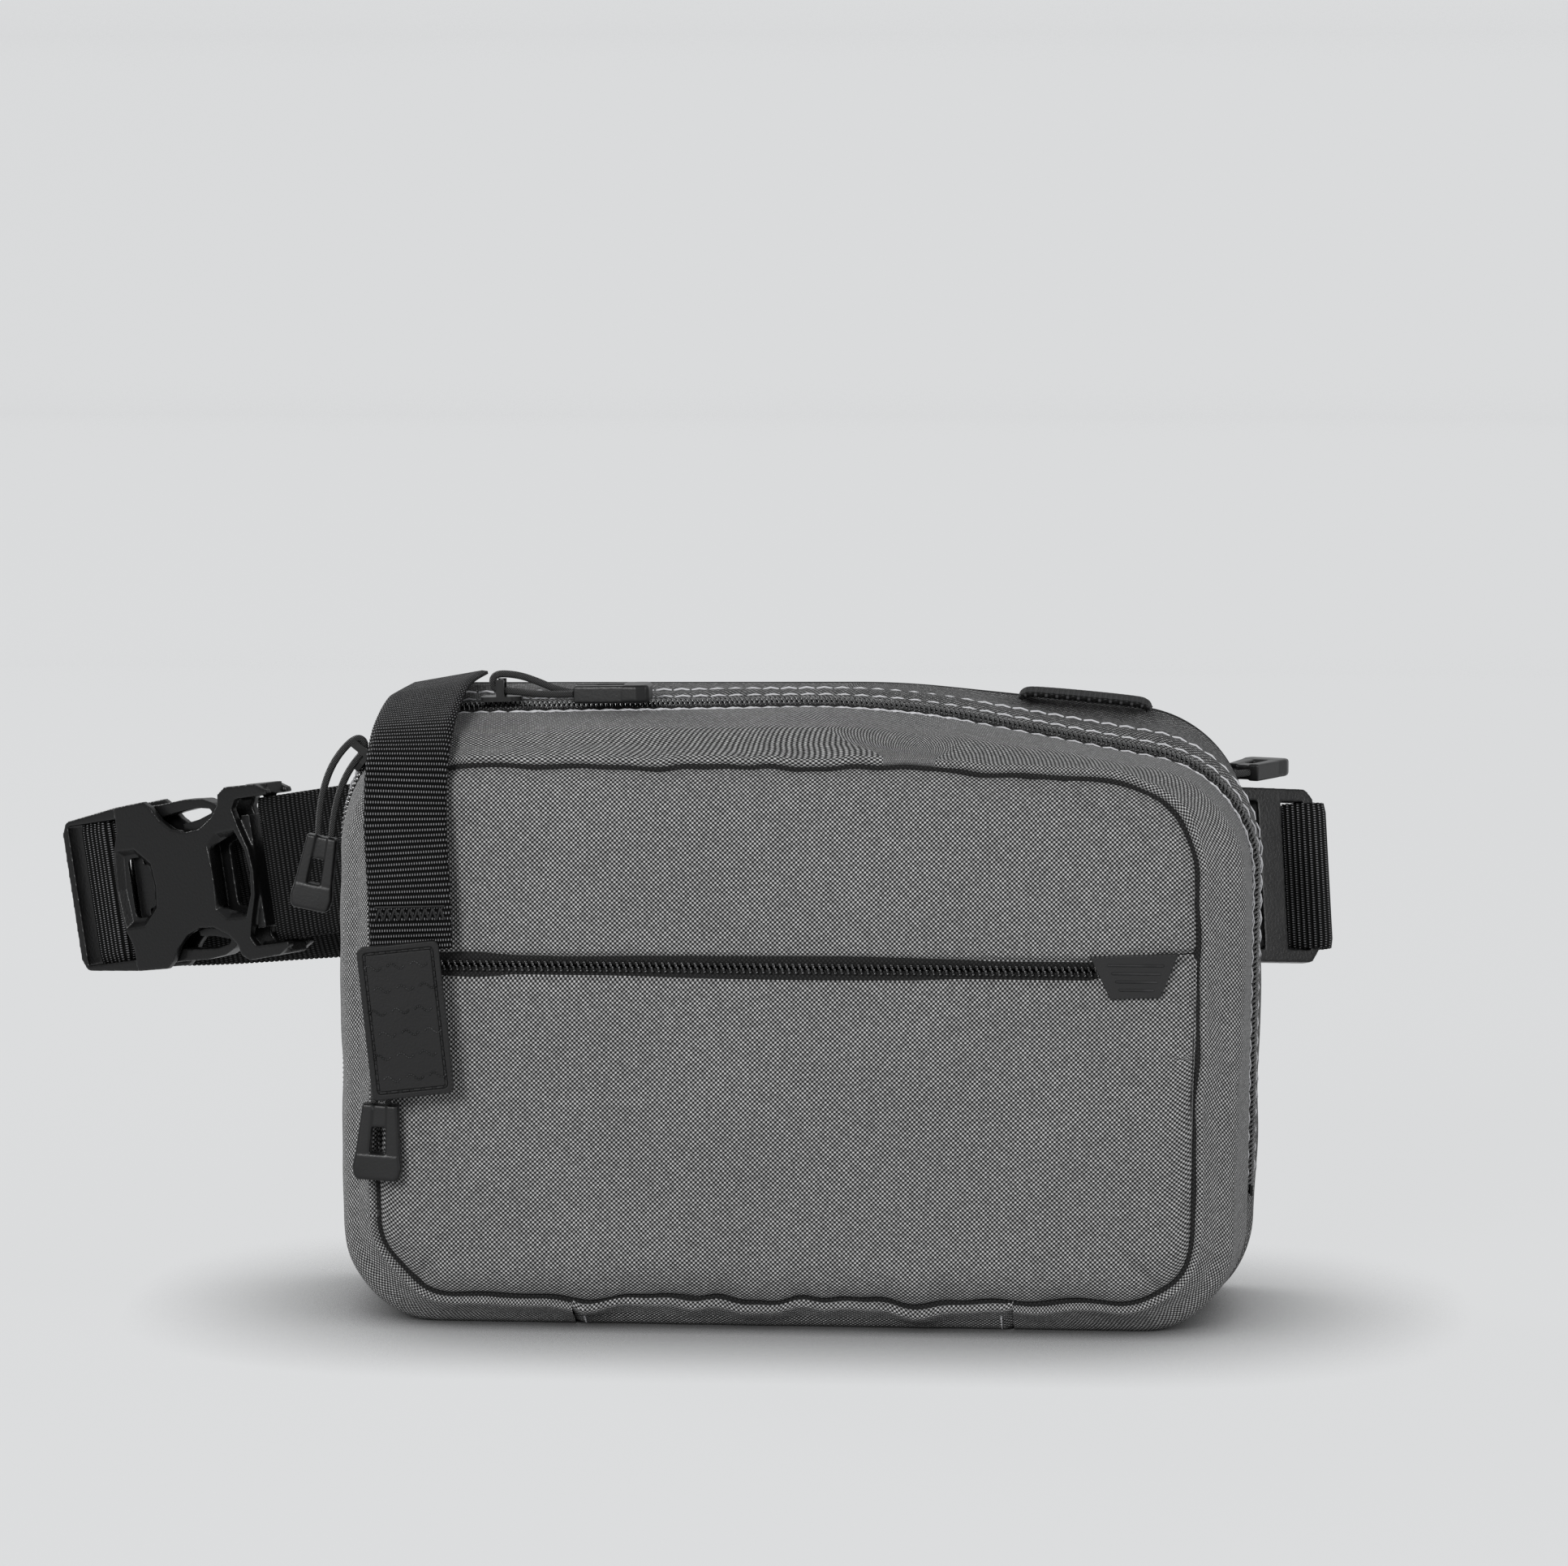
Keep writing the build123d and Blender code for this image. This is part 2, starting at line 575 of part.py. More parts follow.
# top slider: on the main zip's top run, its pull laid to the right
TOP_AT = (-74.0, 0.0, 152.3)
ux, uz = math.cos(math.radians(1.3)), math.sin(math.radians(1.3))
top_slider = slider(TOP_AT, (ux, 0, uz), (-uz, 0, ux), False)
save(top_slider, "top_slider")
TB = (-74.1, 0.0, 157.3)           # middle of its pull bar
TOP_CORD = [(-55.15, -3.3, 155.0), (-59.5, -2.6, 155.6), (-64.6, -1.0, 157.6), (-70.0, -0.2, 159.3),
            (-76.3, 0.0, 159.5), (-76.2, 0.1, 155.2), (-70.4, -0.8, 155.1), (-64.8, -3.6, 154.7),
            (-59.6, -5.9, 154.8), (-55.15, -6.7, 155.0)]
top_pull_cord = pull_cord(TOP_CORD, [5, 6, 5, 2.0, 2.0, 4, 5, 5], CORD)
save(top_pull_cord, "top_pull_cord")
top_pull_tab = pull_tab((-55.0, -5.0, 155.0), (1, 0, 0.022), (-0.022, 0, 1))
save(top_pull_tab, "top_pull_tab")

# left slider: on the corner arc of the main zip, behind the strap
a = math.radians(141)
LEFT_AT = (CORNER[0] + (CORNER_R + 0.4) * math.cos(a), 0.0, CORNER[1] + (CORNER_R + 0.4) * math.sin(a))
left_slider = slider(LEFT_AT, (-math.sin(a), 0, math.cos(a)), (math.cos(a), 0, math.sin(a)), False)
save(left_slider, "left_slider")
LB = (CORNER[0] + (CORNER_R + 0.4 + BAR_H) * math.cos(a), 0.0,
      CORNER[1] + (CORNER_R + 0.4 + BAR_H) * math.sin(a))


def around(bar, deg, r, dy=0.0):
    """Point at angle deg and distance r from a bar, in the XZ plane."""
    return (bar[0] + r * math.cos(math.radians(deg)), bar[1] + dy, bar[2] + r * math.sin(math.radians(deg)))


LDIR = 259.0            # direction of the left pull tab in the XZ plane
LT = (-119.0, 0.0, 118.3)   # middle of the tab's cord end
LEFT_CORD = [(-117.35, 0, 118.1), (-116.6, 0, 125.5), (-113.3, 0, 134.6), (-107.68, 0, 141.19),
             (-110.83, 0, 143.97), (-117.4, 0, 136.4), (-120.4, 0, 126.0), (-120.65, 0, 118.75)]
left_pull_cord = pull_cord(LEFT_CORD, [8, 6, 2.0, 2.0, 6, 8], CORD)
save(left_pull_cord, "left_pull_cord")
ld = (math.cos(math.radians(LDIR)), 0, math.sin(math.radians(LDIR)))
left_pull_tab = pull_tab(LT, ld, (0, -1, 0))
save(left_pull_tab, "left_pull_tab")

# front slider: at the left end of the front zip, its pull hanging
FRONT_AT = (-97.0, -39.3, FZM)
front_slider = slider(FRONT_AT, (1, 0, 0), (0, -1, 0), True)
save(front_slider, "front_slider")
FB = (-97.0, -42.0, FZM)
FDIR = 266.5
FT = around(FB, FDIR, 34.0)


def fpt(along, side):
    base = Vector(*around(FB, FDIR, along))
    off = Vector(*around((0, 0, 0), FDIR - 90, abs(side)))
    return tuple(base + off) if side > 0 else tuple(base - off)


FRONT_CORD = [fpt(33.85, 1.7), fpt(24.0, 2.3), fpt(12.0, 2.1), fpt(1.0, 2.3), fpt(-2.3, 2.2),
              fpt(-2.3, -2.2), fpt(1.0, -2.3), fpt(12.0, -2.1), fpt(24.0, -2.3), fpt(33.85, -1.7)]
front_pull_cord = pull_cord(FRONT_CORD, [12, 12, 12, 2.1, 2.1, 12, 12, 12], CORD)
save(front_pull_cord, "front_pull_cord")
fd = (math.cos(math.radians(FDIR)), 0, math.sin(math.radians(FDIR)))
front_pull_tab = pull_tab(FT, fd, (0, -1, 0))
save(front_pull_tab, "front_pull_tab")

# rear slider: at the right end of the rear zip, its pull standing out
REAR_AT = (99.5, YB + 2.0, RZ)
rear_slider = slider(REAR_AT, (1, 0, 0), (0, 1, 0), False)
save(rear_slider, "rear_slider")
RB = (99.5, YB + 2.0 + BAR_H, RZ)


def rpt(x, y):
    """Point of the rear pull's cord, from its bar, in the horizontal plane."""
    return (RB[0] + x, RB[1] + y, RB[2])


# the cord leaves the bar outward and turns towards the back before the tab
REAR_CORD = [rpt(9.6, 7.15), rpt(7.2, 4.9), rpt(3.6, 3.2), rpt(-1.6, 2.4), rpt(-2.6, -1.8), rpt(3.6, -1.4),
             rpt(8.6, 1.0), rpt(12.8, 5.85)]
rear_pull_cord = pull_cord(REAR_CORD, [4, 5, 1.9, 1.9, 5, 5], CORD)
save(rear_pull_cord, "rear_pull_cord")
rq = math.radians(68)
rear_pull_tab = pull_tab(rpt(11.3, 6.75), (math.cos(rq), math.sin(rq), 0), (0, 0, 1))
save(rear_pull_tab, "rear_pull_tab")
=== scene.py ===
import json
import math

import bmesh
import bpy
import numpy as np
from mathutils import Matrix, Vector


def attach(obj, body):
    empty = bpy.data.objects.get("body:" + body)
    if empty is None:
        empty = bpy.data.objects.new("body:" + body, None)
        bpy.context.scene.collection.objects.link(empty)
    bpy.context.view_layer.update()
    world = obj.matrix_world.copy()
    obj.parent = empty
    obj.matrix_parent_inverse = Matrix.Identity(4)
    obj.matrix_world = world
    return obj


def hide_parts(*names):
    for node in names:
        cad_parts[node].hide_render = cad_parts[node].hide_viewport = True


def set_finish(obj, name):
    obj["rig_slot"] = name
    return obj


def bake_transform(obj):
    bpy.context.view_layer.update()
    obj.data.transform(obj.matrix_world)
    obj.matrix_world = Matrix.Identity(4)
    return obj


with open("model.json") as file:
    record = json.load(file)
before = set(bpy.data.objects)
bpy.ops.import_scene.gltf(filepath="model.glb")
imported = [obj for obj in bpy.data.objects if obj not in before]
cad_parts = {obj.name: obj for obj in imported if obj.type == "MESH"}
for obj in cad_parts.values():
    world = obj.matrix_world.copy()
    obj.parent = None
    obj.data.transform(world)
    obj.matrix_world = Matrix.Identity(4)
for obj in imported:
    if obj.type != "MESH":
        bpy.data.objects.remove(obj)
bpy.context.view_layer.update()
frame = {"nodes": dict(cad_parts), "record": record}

MM = 0.001
rng = np.random.default_rng(7)

# ---------------------------------------------------------------- materials


class Nodes:
    """Short helpers for one material's node tree."""

    def __init__(self, name):
        self.mat = bpy.data.materials.new(name)
        self.mat.use_nodes = True
        self.tree = self.mat.node_tree
        self.bsdf = self.tree.nodes["Principled BSDF"]

    def add(self, kind, **values):
        node = self.tree.nodes.new(kind)
        for key, value in values.items():
            setattr(node, key, value)
        return node

    def link(self, a, b):
        self.tree.links.new(a, b)

    def put(self, socket, value):
        if hasattr(value, "is_output"):
            self.link(value, socket)
        else:
            socket.default_value = value

    def math(self, op, a, b=None, c=None, clamp=False):
        node = self.add("ShaderNodeMath", operation=op, use_clamp=clamp)
        self.put(node.inputs[0], a)
        if b is not None:
            self.put(node.inputs[1], b)
        if c is not None:
            self.put(node.inputs[2], c)
        return node.outputs[0]

    def mix(self, factor, a, b, blend="MIX"):
        node = self.add("ShaderNodeMix", data_type="RGBA", blend_type=blend)
        self.put(node.inputs[0], factor)
        self.put(node.inputs[6], a)
        self.put(node.inputs[7], b)
        return node.outputs[2]

    def ramp(self, value, low, high):
        node = self.add("ShaderNodeMapRange", interpolation_type="SMOOTHSTEP")
        self.put(node.inputs[0], value)
        node.inputs[1].default_value = low
        node.inputs[2].default_value = high
        return node.outputs[0]

    def noise(self, vector, scale, detail=2.0, rough=0.5):
        node = self.add("ShaderNodeTexNoise")
        self.link(vector, node.inputs["Vector"])
        node.inputs["Scale"].default_value = scale
        node.inputs["Detail"].default_value = detail
        node.inputs["Roughness"].default_value = rough
        return node.outputs[0]

    def bump(self, height, distance, strength=1.0, normal=None):
        node = self.add("ShaderNodeBump")
        node.inputs["Strength"].default_value = strength
        node.inputs["Distance"].default_value = distance
        self.link(height, node.inputs["Height"])
        if normal is not None:
            self.link(normal, node.inputs["Normal"])
        return node.outputs[0]

    def coords(self, kind="UV"):
        return self.add("ShaderNodeTexCoord").outputs[kind]

    def split(self, vector):
        node = self.add("ShaderNodeSeparateXYZ")
        self.link(vector, node.inputs[0])
        return node.outputs

    def join(self, x, y, z=0.0):
        node = self.add("ShaderNodeCombineXYZ")
        self.put(node.inputs[0], x)
        self.put(node.inputs[1], y)
        self.put(node.inputs[2], z)
        return node.outputs[0]


def grey(v, tint=0.0):
    return (v, v, v * (1 + tint), 1.0)


def weave(name, light, dark, pitch, depth, rough=0.9, heather=0.25, blotch=0.12, sheen=0.15, kind="UV", specular=0.25):
    """Plain weave: warp and weft threads cross on a grid of that pitch, in metres."""
    n = Nodes(name)
    uv = n.split(n.coords(kind))
    u = n.math("DIVIDE", uv[0], pitch)
    v = n.math("DIVIDE", uv[1], pitch)
    wobble = n.noise(n.coords("Object"), 90.0, 1.0)
    u = n.math("ADD", u, n.math("MULTIPLY", wobble, 0.9))
    v = n.math("ADD", v, n.math("MULTIPLY", wobble, 0.7))
    su = n.math("SINE", n.math("MULTIPLY", u, math.pi))
    sv = n.math("SINE", n.math("MULTIPLY", v, math.pi))
    product = n.math("MULTIPLY", su, sv)
    knot = n.math("ABSOLUTE", product)
    side = n.ramp(product, -0.55, 0.45)
    white = n.add("ShaderNodeTexWhiteNoise", noise_dimensions="2D")
    n.link(n.join(n.math("FLOOR", u), n.math("FLOOR", v)), white.inputs["Vector"])
    fleck = n.math("MULTIPLY_ADD", white.outputs[0], 2 * heather, 1 - heather)
    large = n.math("MULTIPLY_ADD", n.noise(n.coords("Object"), 28.0, 3.0), 2 * blotch, 1 - blotch)
    tone = n.math("MULTIPLY", fleck, large)
    tone = n.math("MULTIPLY", tone, n.math("MULTIPLY_ADD", n.ramp(knot, 0.0, 0.55), 0.62, 0.4))
    lit = n.mix(1.0, grey(light), n.join(tone, tone, tone), "MULTIPLY")
    colour = n.mix(side, grey(dark), lit)
    n.link(colour, n.bsdf.inputs["Base Color"])
    fine = n.noise(n.coords("Object"), 2600.0, 2.0)
    height = n.math("ADD", n.math("MULTIPLY_ADD", product, 0.5, n.math("MULTIPLY", n.math("POWER", knot, 0.6), 0.4)),
                    n.math("MULTIPLY", fine, 0.25))
    n.link(n.bump(height, depth, 0.8), n.bsdf.inputs["Normal"])
    n.bsdf.inputs["Roughness"].default_value = rough
    n.bsdf.inputs["Specular IOR Level"].default_value = specular
    n.bsdf.inputs["Sheen Weight"].default_value = sheen
    n.bsdf.inputs["Sheen Roughness"].default_value = 0.45
    return n.mat


def webbing(name, light, dark, rough=0.62, thread=0.00062, cover=0.7):
    """Ribbed nylon webbing. U runs along it and V across, both in metres. Its colour paints highlights on the crests of
    the ribs and beads.
    """
    n = Nodes(name)
    uv = n.split(n.coords("UV"))
    u = n.math("DIVIDE", uv[0], 0.00135)
    v = n.math("DIVIDE", uv[1], thread)
    rib = n.math("ABSOLUTE", n.math("SINE", n.math("MULTIPLY", u, math.pi)))
    stagger = n.math("MULTIPLY", n.math("FLOOR", u), 0.5)
    bead = n.math("ABSOLUTE", n.math("SINE", n.math("MULTIPLY", n.math("ADD", v, stagger), math.pi)))
    height = n.math("MULTIPLY", n.math("POWER", rib, 0.5), n.math("POWER", bead, 0.55))
    # painted highlight: the light colour sits on the rib and bead crests, made patchy by noise
    highlight_and_wear = n.noise(n.coords("Object"), 160.0, 3.0)
    factor = n.math("MULTIPLY", n.ramp(height, cover, 0.99), n.math("MULTIPLY_ADD", n.ramp(highlight_and_wear, 0.25, 0.75), 0.3, 0.7))
    n.link(n.mix(factor, grey(dark), grey(light, 0.03)), n.bsdf.inputs["Base Color"])
    n.link(n.bump(height, 0.0003, 0.9), n.bsdf.inputs["Normal"])
    n.bsdf.inputs["Roughness"].default_value = rough
    n.bsdf.inputs["Specular IOR Level"].default_value = 0.12
    n.bsdf.inputs["Sheen Weight"].default_value = 0.0
    return n.mat


def plastic(name, base, rough, grain_scale, grain_depth, edge_wear_and_highlight=0.25, specular=0.5):
    """Moulded plastic or rubber: fine spark-eroded grain, uneven gloss, and convex edges painted paler, partly as wear
    and partly as painted bevel highlight.
    """
    n = Nodes(name)
    where = n.coords("Object")
    grain = n.noise(where, grain_scale, 2.0, 0.6)
    cloud = n.noise(where, 120.0, 4.0)
    # paler convex edges from pointiness: partly wear, partly painted bevel highlight
    edge = n.math("SUBTRACT", n.add("ShaderNodeNewGeometry").outputs["Pointiness"], 0.5)
    highlight_and_wear = n.math("MULTIPLY", n.ramp(edge, 0.02, 0.09), n.ramp(cloud, 0.35, 0.65))
    colour = n.mix(n.math("MULTIPLY", highlight_and_wear, edge_wear_and_highlight), grey(base, 0.03), grey(base * 3.2 + 0.02, 0.03))
    colour = n.mix(n.math("MULTIPLY", cloud, 0.3), colour, grey(base * 1.6, 0.03))
    n.link(colour, n.bsdf.inputs["Base Color"])
    n.link(n.math("MULTIPLY_ADD", cloud, 0.2, rough - 0.1), n.bsdf.inputs["Roughness"])
    n.link(n.bump(grain, grain_depth, 0.6), n.bsdf.inputs["Normal"])
    n.bsdf.inputs["Specular IOR Level"].default_value = specular
    return n.mat


def braid(name, light, dark):
    """Braided cord: diagonal strands from its position along and around."""
    n = Nodes(name)
    where = n.coords("Object")
    parts = n.split(where)
    a = n.math("MULTIPLY", n.math("ADD", parts[0], n.math("MULTIPLY", parts[2], 1.0)), 5200.0)
    b = n.math("MULTIPLY", n.math("SUBTRACT", parts[0], n.math("MULTIPLY", parts[2], 1.0)), 5200.0)
    knot = n.math("ABSOLUTE", n.math("MULTIPLY", n.math("SINE", a), n.math("SINE", b)))
    n.link(n.mix(n.ramp(knot, 0.15, 0.9), grey(dark), grey(light)), n.bsdf.inputs["Base Color"])
    n.link(n.bump(knot, 0.00018, 0.9), n.bsdf.inputs["Normal"])
    n.bsdf.inputs["Roughness"].default_value = 0.6
    return n.mat


def metal(name, base, rough):
    n = Nodes(name)
    cloud = n.noise(n.coords("Object"), 400.0, 3.0)
    n.link(n.mix(cloud, grey(base * 0.7), grey(base * 1.5)), n.bsdf.inputs["Base Color"])
    n.link(n.math("MULTIPLY_ADD", cloud, 0.2, rough - 0.1), n.bsdf.inputs["Roughness"])
    n.link(n.bump(cloud, 0.00003, 0.4), n.bsdf.inputs["Normal"])
    n.bsdf.inputs["Metallic"].default_value = 0.6
    return n.mat


M = {
    "grey_fabric": weave("grey_fabric_weave", 0.43, 0.007, 0.00056, 0.00034, heather=0.22, blotch=0.12, sheen=0.04, specular=0.1),
    # a darker copy of the grey fabric for the rear strip: painted shade
    "rear_fabric": weave("grey_fabric_rear_painted_shade", 0.26, 0.009, 0.00056, 0.00034, heather=0.45, blotch=0.24, sheen=0.04, specular=0.1),
    "lining_fabric": weave("lining_weave", 0.12, 0.06, 0.0004, 0.0001, kind="Object"),
    "back_fabric": weave("back_mesh", 0.03, 0.004, 0.0021, 0.0006, heather=0.1, specular=0.15),
    "foam": weave("foam_skin", 0.13, 0.09, 0.0012, 0.0002, kind="Object"),
    # the webbing materials paint highlights on their rib crests
    "binding_tape": webbing("binding_tape_rib_painted_highlight", 0.04, 0.004, thread=0.0005),
    "zip_tape": weave("zip_tape_weave", 0.02, 0.004, 0.00055, 0.00012, heather=0.1),
    "zip_coil": plastic("zip_coil_nylon", 0.004, 0.2, 3000.0, 0.00001, edge_wear_and_highlight=0.5, specular=0.9),
    "slider_metal": metal("slider_lacquer", 0.012, 0.36),
    "black_webbing": webbing("black_webbing_rib_painted_highlight", 0.2, 0.0006, cover=0.78),
    # the belt is a darker copy of the black webbing with dimmer crests: painted shade, and painted highlight on its
    # crests
    "belt_webbing": webbing("belt_webbing_rib_painted_shade_and_highlight", 0.045, 0.0006, cover=0.68),
    "black_thread": plastic("black_thread_twist", 0.006, 0.6, 4000.0, 0.00006, specular=0.3),
    "pale_thread": plastic("pale_thread_twist", 0.5, 0.75, 4000.0, 0.00006, edge_wear_and_highlight=0.0, specular=0.2),
    "patch_rubber": plastic("patch_rubber_matte", 0.0062, 0.5, 1700.0, 0.00008, edge_wear_and_highlight=0.9, specular=0.25),
    "tag_rubber": plastic("tag_rubber_matte", 0.0125, 0.6, 1700.0, 0.00008, edge_wear_and_highlight=0.4, specular=0.25),
    "pull_rubber": plastic("pull_rubber_satin", 0.0055, 0.38, 1500.0, 0.00006, edge_wear_and_highlight=0.9, specular=0.35),
    "pull_cord": braid("pull_cord_braid", 0.05, 0.002),
    "black_plastic": plastic("buckle_acetal", 0.0042, 0.34, 1300.0, 0.0001, edge_wear_and_highlight=1.0, specular=0.32),
}

record = frame["record"]
SLOT = {s["node"]: s["material_slot"] for s in record["subparts"]}
for name, obj in frame["nodes"].items():
    mat = M[SLOT[name]]
    if obj.material_slots:
        for s in obj.material_slots:
            s.material = mat
    else:
        obj.data.materials.append(mat)

# ---------------------------------------------------------------- mesh helpers


def mesh(name, verts, faces, mat, slot, uvs=None, smooth=True):
    """verts in millimetres; uvs in metres, one per vertex."""
    me = bpy.data.meshes.new(name)
    me.from_pydata((np.asarray(verts, float) * MM).tolist(), [], faces)
    if uvs is not None:
        layer = me.uv_layers.new(name="UVMap")
        index = np.empty(len(me.loops), int)
        me.loops.foreach_get("vertex_index", index)
        layer.data.foreach_set("uv", np.asarray(uvs, np.float32)[index].ravel())
    me.polygons.foreach_set("use_smooth", [smooth] * len(me.polygons))
    me.materials.append(mat)
    me.update()
    obj = bpy.data.objects.new(name, me)
    bpy.context.collection.objects.link(obj)
    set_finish(obj, slot)
    return obj


def grid_faces(n, m, closed_n=False, closed_m=False, keep=None, base=0):
    faces = []
    for i in range(n if closed_n else n - 1):
        for j in range(m if closed_m else m - 1):
            if keep is not None and not keep(i, j):
                continue
            a, b = i * m + j, ((i + 1) % n) * m + j
            c, d = ((i + 1) % n) * m + (j + 1) % m, i * m + (j + 1) % m
            faces.append((a + base, b + base, c + base, d + base))
    return faces


def capsules(name, items, mat, slot, sides=6):
    """Many short rounded threads or teeth in one mesh: (start, end, radius) in millimetres."""
    ring = [(math.cos(2 * math.pi * k / sides), math.sin(2 * math.pi * k / sides)) for k in range(sides)]
    verts, faces = [], []
    for a, b, r in items:
        a, b = np.asarray(a, float), np.asarray(b, float)
        d = b - a
        length = np.linalg.norm(d)
        d = d / length
        side = np.cross(d, (0.0, 0.0, 1.0) if abs(d[2]) < 0.9 else (1.0, 0.0, 0.0))
        side /= np.linalg.norm(side)
        up = np.cross(d, side)
        r2 = min(r, length * 0.45)
        base = len(verts)
        for along, scale in ((0.0, 0.35), (0.35 * r2, 0.85), (r2, 1.0), (length - r2, 1.0),
                             (length - 0.35 * r2, 0.85), (length, 0.35)):
            for c, s in ring:
                verts.append(a + d * along + (side * c + up * s) * r * scale)
        for k in range(5):
            for j in range(sides):
                p, q = base + k * sides + j, base + k * sides + (j + 1) % sides
                faces.append((p, q, q + sides, p + sides))
        faces.append(tuple(base + j for j in reversed(range(sides))))
        faces.append(tuple(base + 5 * sides + j for j in range(sides)))
    return mesh(name, verts, faces, mat, slot)


def undulate(p, size, seed, count=7):
    """Smooth random waves of about that wavelength, in millimetres, from -1 to 1."""
    r = np.random.default_rng(seed)
    out = np.zeros(p.shape[:-1])
    for _ in range(count):
        d = r.normal(size=3)
        d /= np.linalg.norm(d)
        out += np.sin(p @ d * (2 * math.pi / (size * r.uniform(0.7, 1.5))) + r.uniform(0, 6.28))
    return out / count * 1.6


# ---------------------------------------------------------------- the bag's outlines, millimetres
OUT_A = [(-102, 6.8), (101, 6.8), (102, 137), (30, 141.2), (-102, 140.6)]
RAD_A = [21, 21, 26, 200, 24]
OUT_B = [(-111, 0), (110, 0), (111.5, 135.5), (26, 149), (-110, 146.5)]
RAD_B = [24, 24, 29, 200, 32]
OUT_0 = [(-114, 0), (113, 0), (114.5, 136), (22, 153.2), (-114, 150)]
RAD_0 = [24, 24, 30, 220, 34]
OUT_C = [(-112, 0), (111, 0), (112, 146.5), (24, 155), (-111, 154)]
RAD_C = [22, 22, 30, 220, 25]
BASE_X0, BASE_X1 = -53.0, 56.0
FZM = 91.1


def rounded(pts, radii, inset=0.0):
    """Closed rounded outline, anticlockwise, sampled so that every outline matches the next point by point.
    Returns points and outward normals."""
    pts = np.asarray(pts, float)
    k = len(pts)
    lines = []
    for i in range(k):
        a, b = pts[i], pts[(i + 1) % k]
        d = (b - a) / np.linalg.norm(b - a)
        lines.append((a + np.array([-d[1], d[0]]) * inset, d))
    corner = []
    for i in range(k):
        (a, da), (b, db) = lines[i - 1], lines[i]
        t = np.cross(b - a, db) / np.cross(da, db)
        corner.append(a + da * t)
    arcs = []
    for i in range(k):
        da, db = lines[i - 1][1], lines[i][1]
        r = max(radii[i] - inset, 1.0)
        turn = math.acos(np.clip(da @ db, -1, 1))
        cut = r * math.tan(turn / 2)
        t0 = corner[i] - da * cut
        centre = t0 + np.array([-da[1], da[0]]) * r
        start = math.atan2(-da[0], da[1]) + math.pi
        start = math.atan2((t0 - centre)[1], (t0 - centre)[0])
        arcs.append((centre, r, start, turn))
    counts_arc = [26, 26, 34, 12, 34]
    counts_line = [0, 64, 44, 64, 60]
    out, nor = [], []
    for i in range(k):
        centre, r, start, turn = arcs[i]
        for j in range(counts_arc[i]):
            ang = start + turn * j / (counts_arc[i] - 1)
            nn = np.array([math.cos(ang), math.sin(ang)])
            out.append(centre + nn * r)
            nor.append(nn)
        end = out[-1]
        c2, r2, s2, _ = arcs[(i + 1) % k]
        nxt = c2 + np.array([math.cos(s2), math.sin(s2)]) * r2
        d = lines[i][1]
        normal = np.array([d[1], -d[0]])
        if i == 0:      # bottom, with the joints of the base panel
            xs = list(np.linspace(end[0], BASE_X0, 14)[1:]) + list(np.linspace(BASE_X0, BASE_X1, 50)[1:]) \
                + list(np.linspace(BASE_X1, nxt[0], 14)[1:-1])
            for x in xs:
                t = (x - end[0]) / (nxt[0] - end[0])
                out.append(end + (nxt - end) * t)
                nor.append(normal)
        else:
            c = counts_line[i]
            for j in range(1, c - 1):
                out.append(end + (nxt - end) * j / (c - 1))
                nor.append(normal)
    return np.array(out), np.array(nor)


def wobble(pts):
    """Uneven sewing: how far the front seam strays from its outline, in millimetres."""
    a = np.arctan2(pts[..., 1] - 74.0, pts[..., 0])
    low = np.clip((24.0 - pts[..., 1]) / 14.0, 0, 1)
    return (0.28 * np.sin(a * 11 + 1.0) + 0.2 * np.sin(a * 23 + 2.0) + 0.14 * np.sin(a * 41 + 4.0)) * (1 + 1.2 * low)


SHAPES = [(-34.0, OUT_A, RAD_A), (-24.0, OUT_B, RAD_B), (-3.0, OUT_0, RAD_0), (3.0, OUT_0, RAD_0), (34.0, OUT_C, RAD_C)]


def shape_at(y):
    """Corner points and radii of the bag's section at that depth."""
    y = min(max(y, -34.0), 34.0)
    for (y0, p0, r0), (y1, p1, r1) in zip(SHAPES, SHAPES[1:]):
        if y <= y1:
            t = (y - y0) / (y1 - y0)
            if y1 == -24.0:
                t = math.sin(t * math.pi / 2) ** 1.15
            p = np.asarray(p0, float) * (1 - t) + np.asarray(p1, float) * t
            r = np.asarray(r0, float) * (1 - t) + np.asarray(r1, float) * t
            return p, r
    return SHAPES[-1][1], SHAPES[-1][2]


RING0, RINGN0 = rounded(OUT_0, RAD_0)
NCOL = len(RING0)
ARC = np.concatenate([[0], np.cumsum(np.linalg.norm(np.diff(np.vstack([RING0, RING0[:1]]), axis=0), axis=1))])
GIRTH = ARC[-1]
BASE_COLS = [j for j in range(NCOL) if RING0[j][1] < 0.01 and BASE_X0 - 0.01 <= RING0[j][0] <= BASE_X1 + 0.01]
CAB0, CAB1 = min(BASE_COLS), max(BASE_COLS)
IN_ZIP = np.clip((RING0[:, 1] - 29.0) / 3.0, 0, 1)

# ---------------------------------------------------------------- gussets


def gusset_point(y, offset):
    """Ring of points at depth y, moved outward by offset (a number or one per column)."""
    p, r = shape_at(y)
    ring, normal = rounded(p, r)
    stray = wobble(ring) * math.exp(-((min(y, 40.0) + 34.0) / 4.5) ** 2) if y < -10 else np.zeros(NCOL)
    return ring + normal * (np.reshape(offset, (-1, 1)) + stray[:, None]), normal


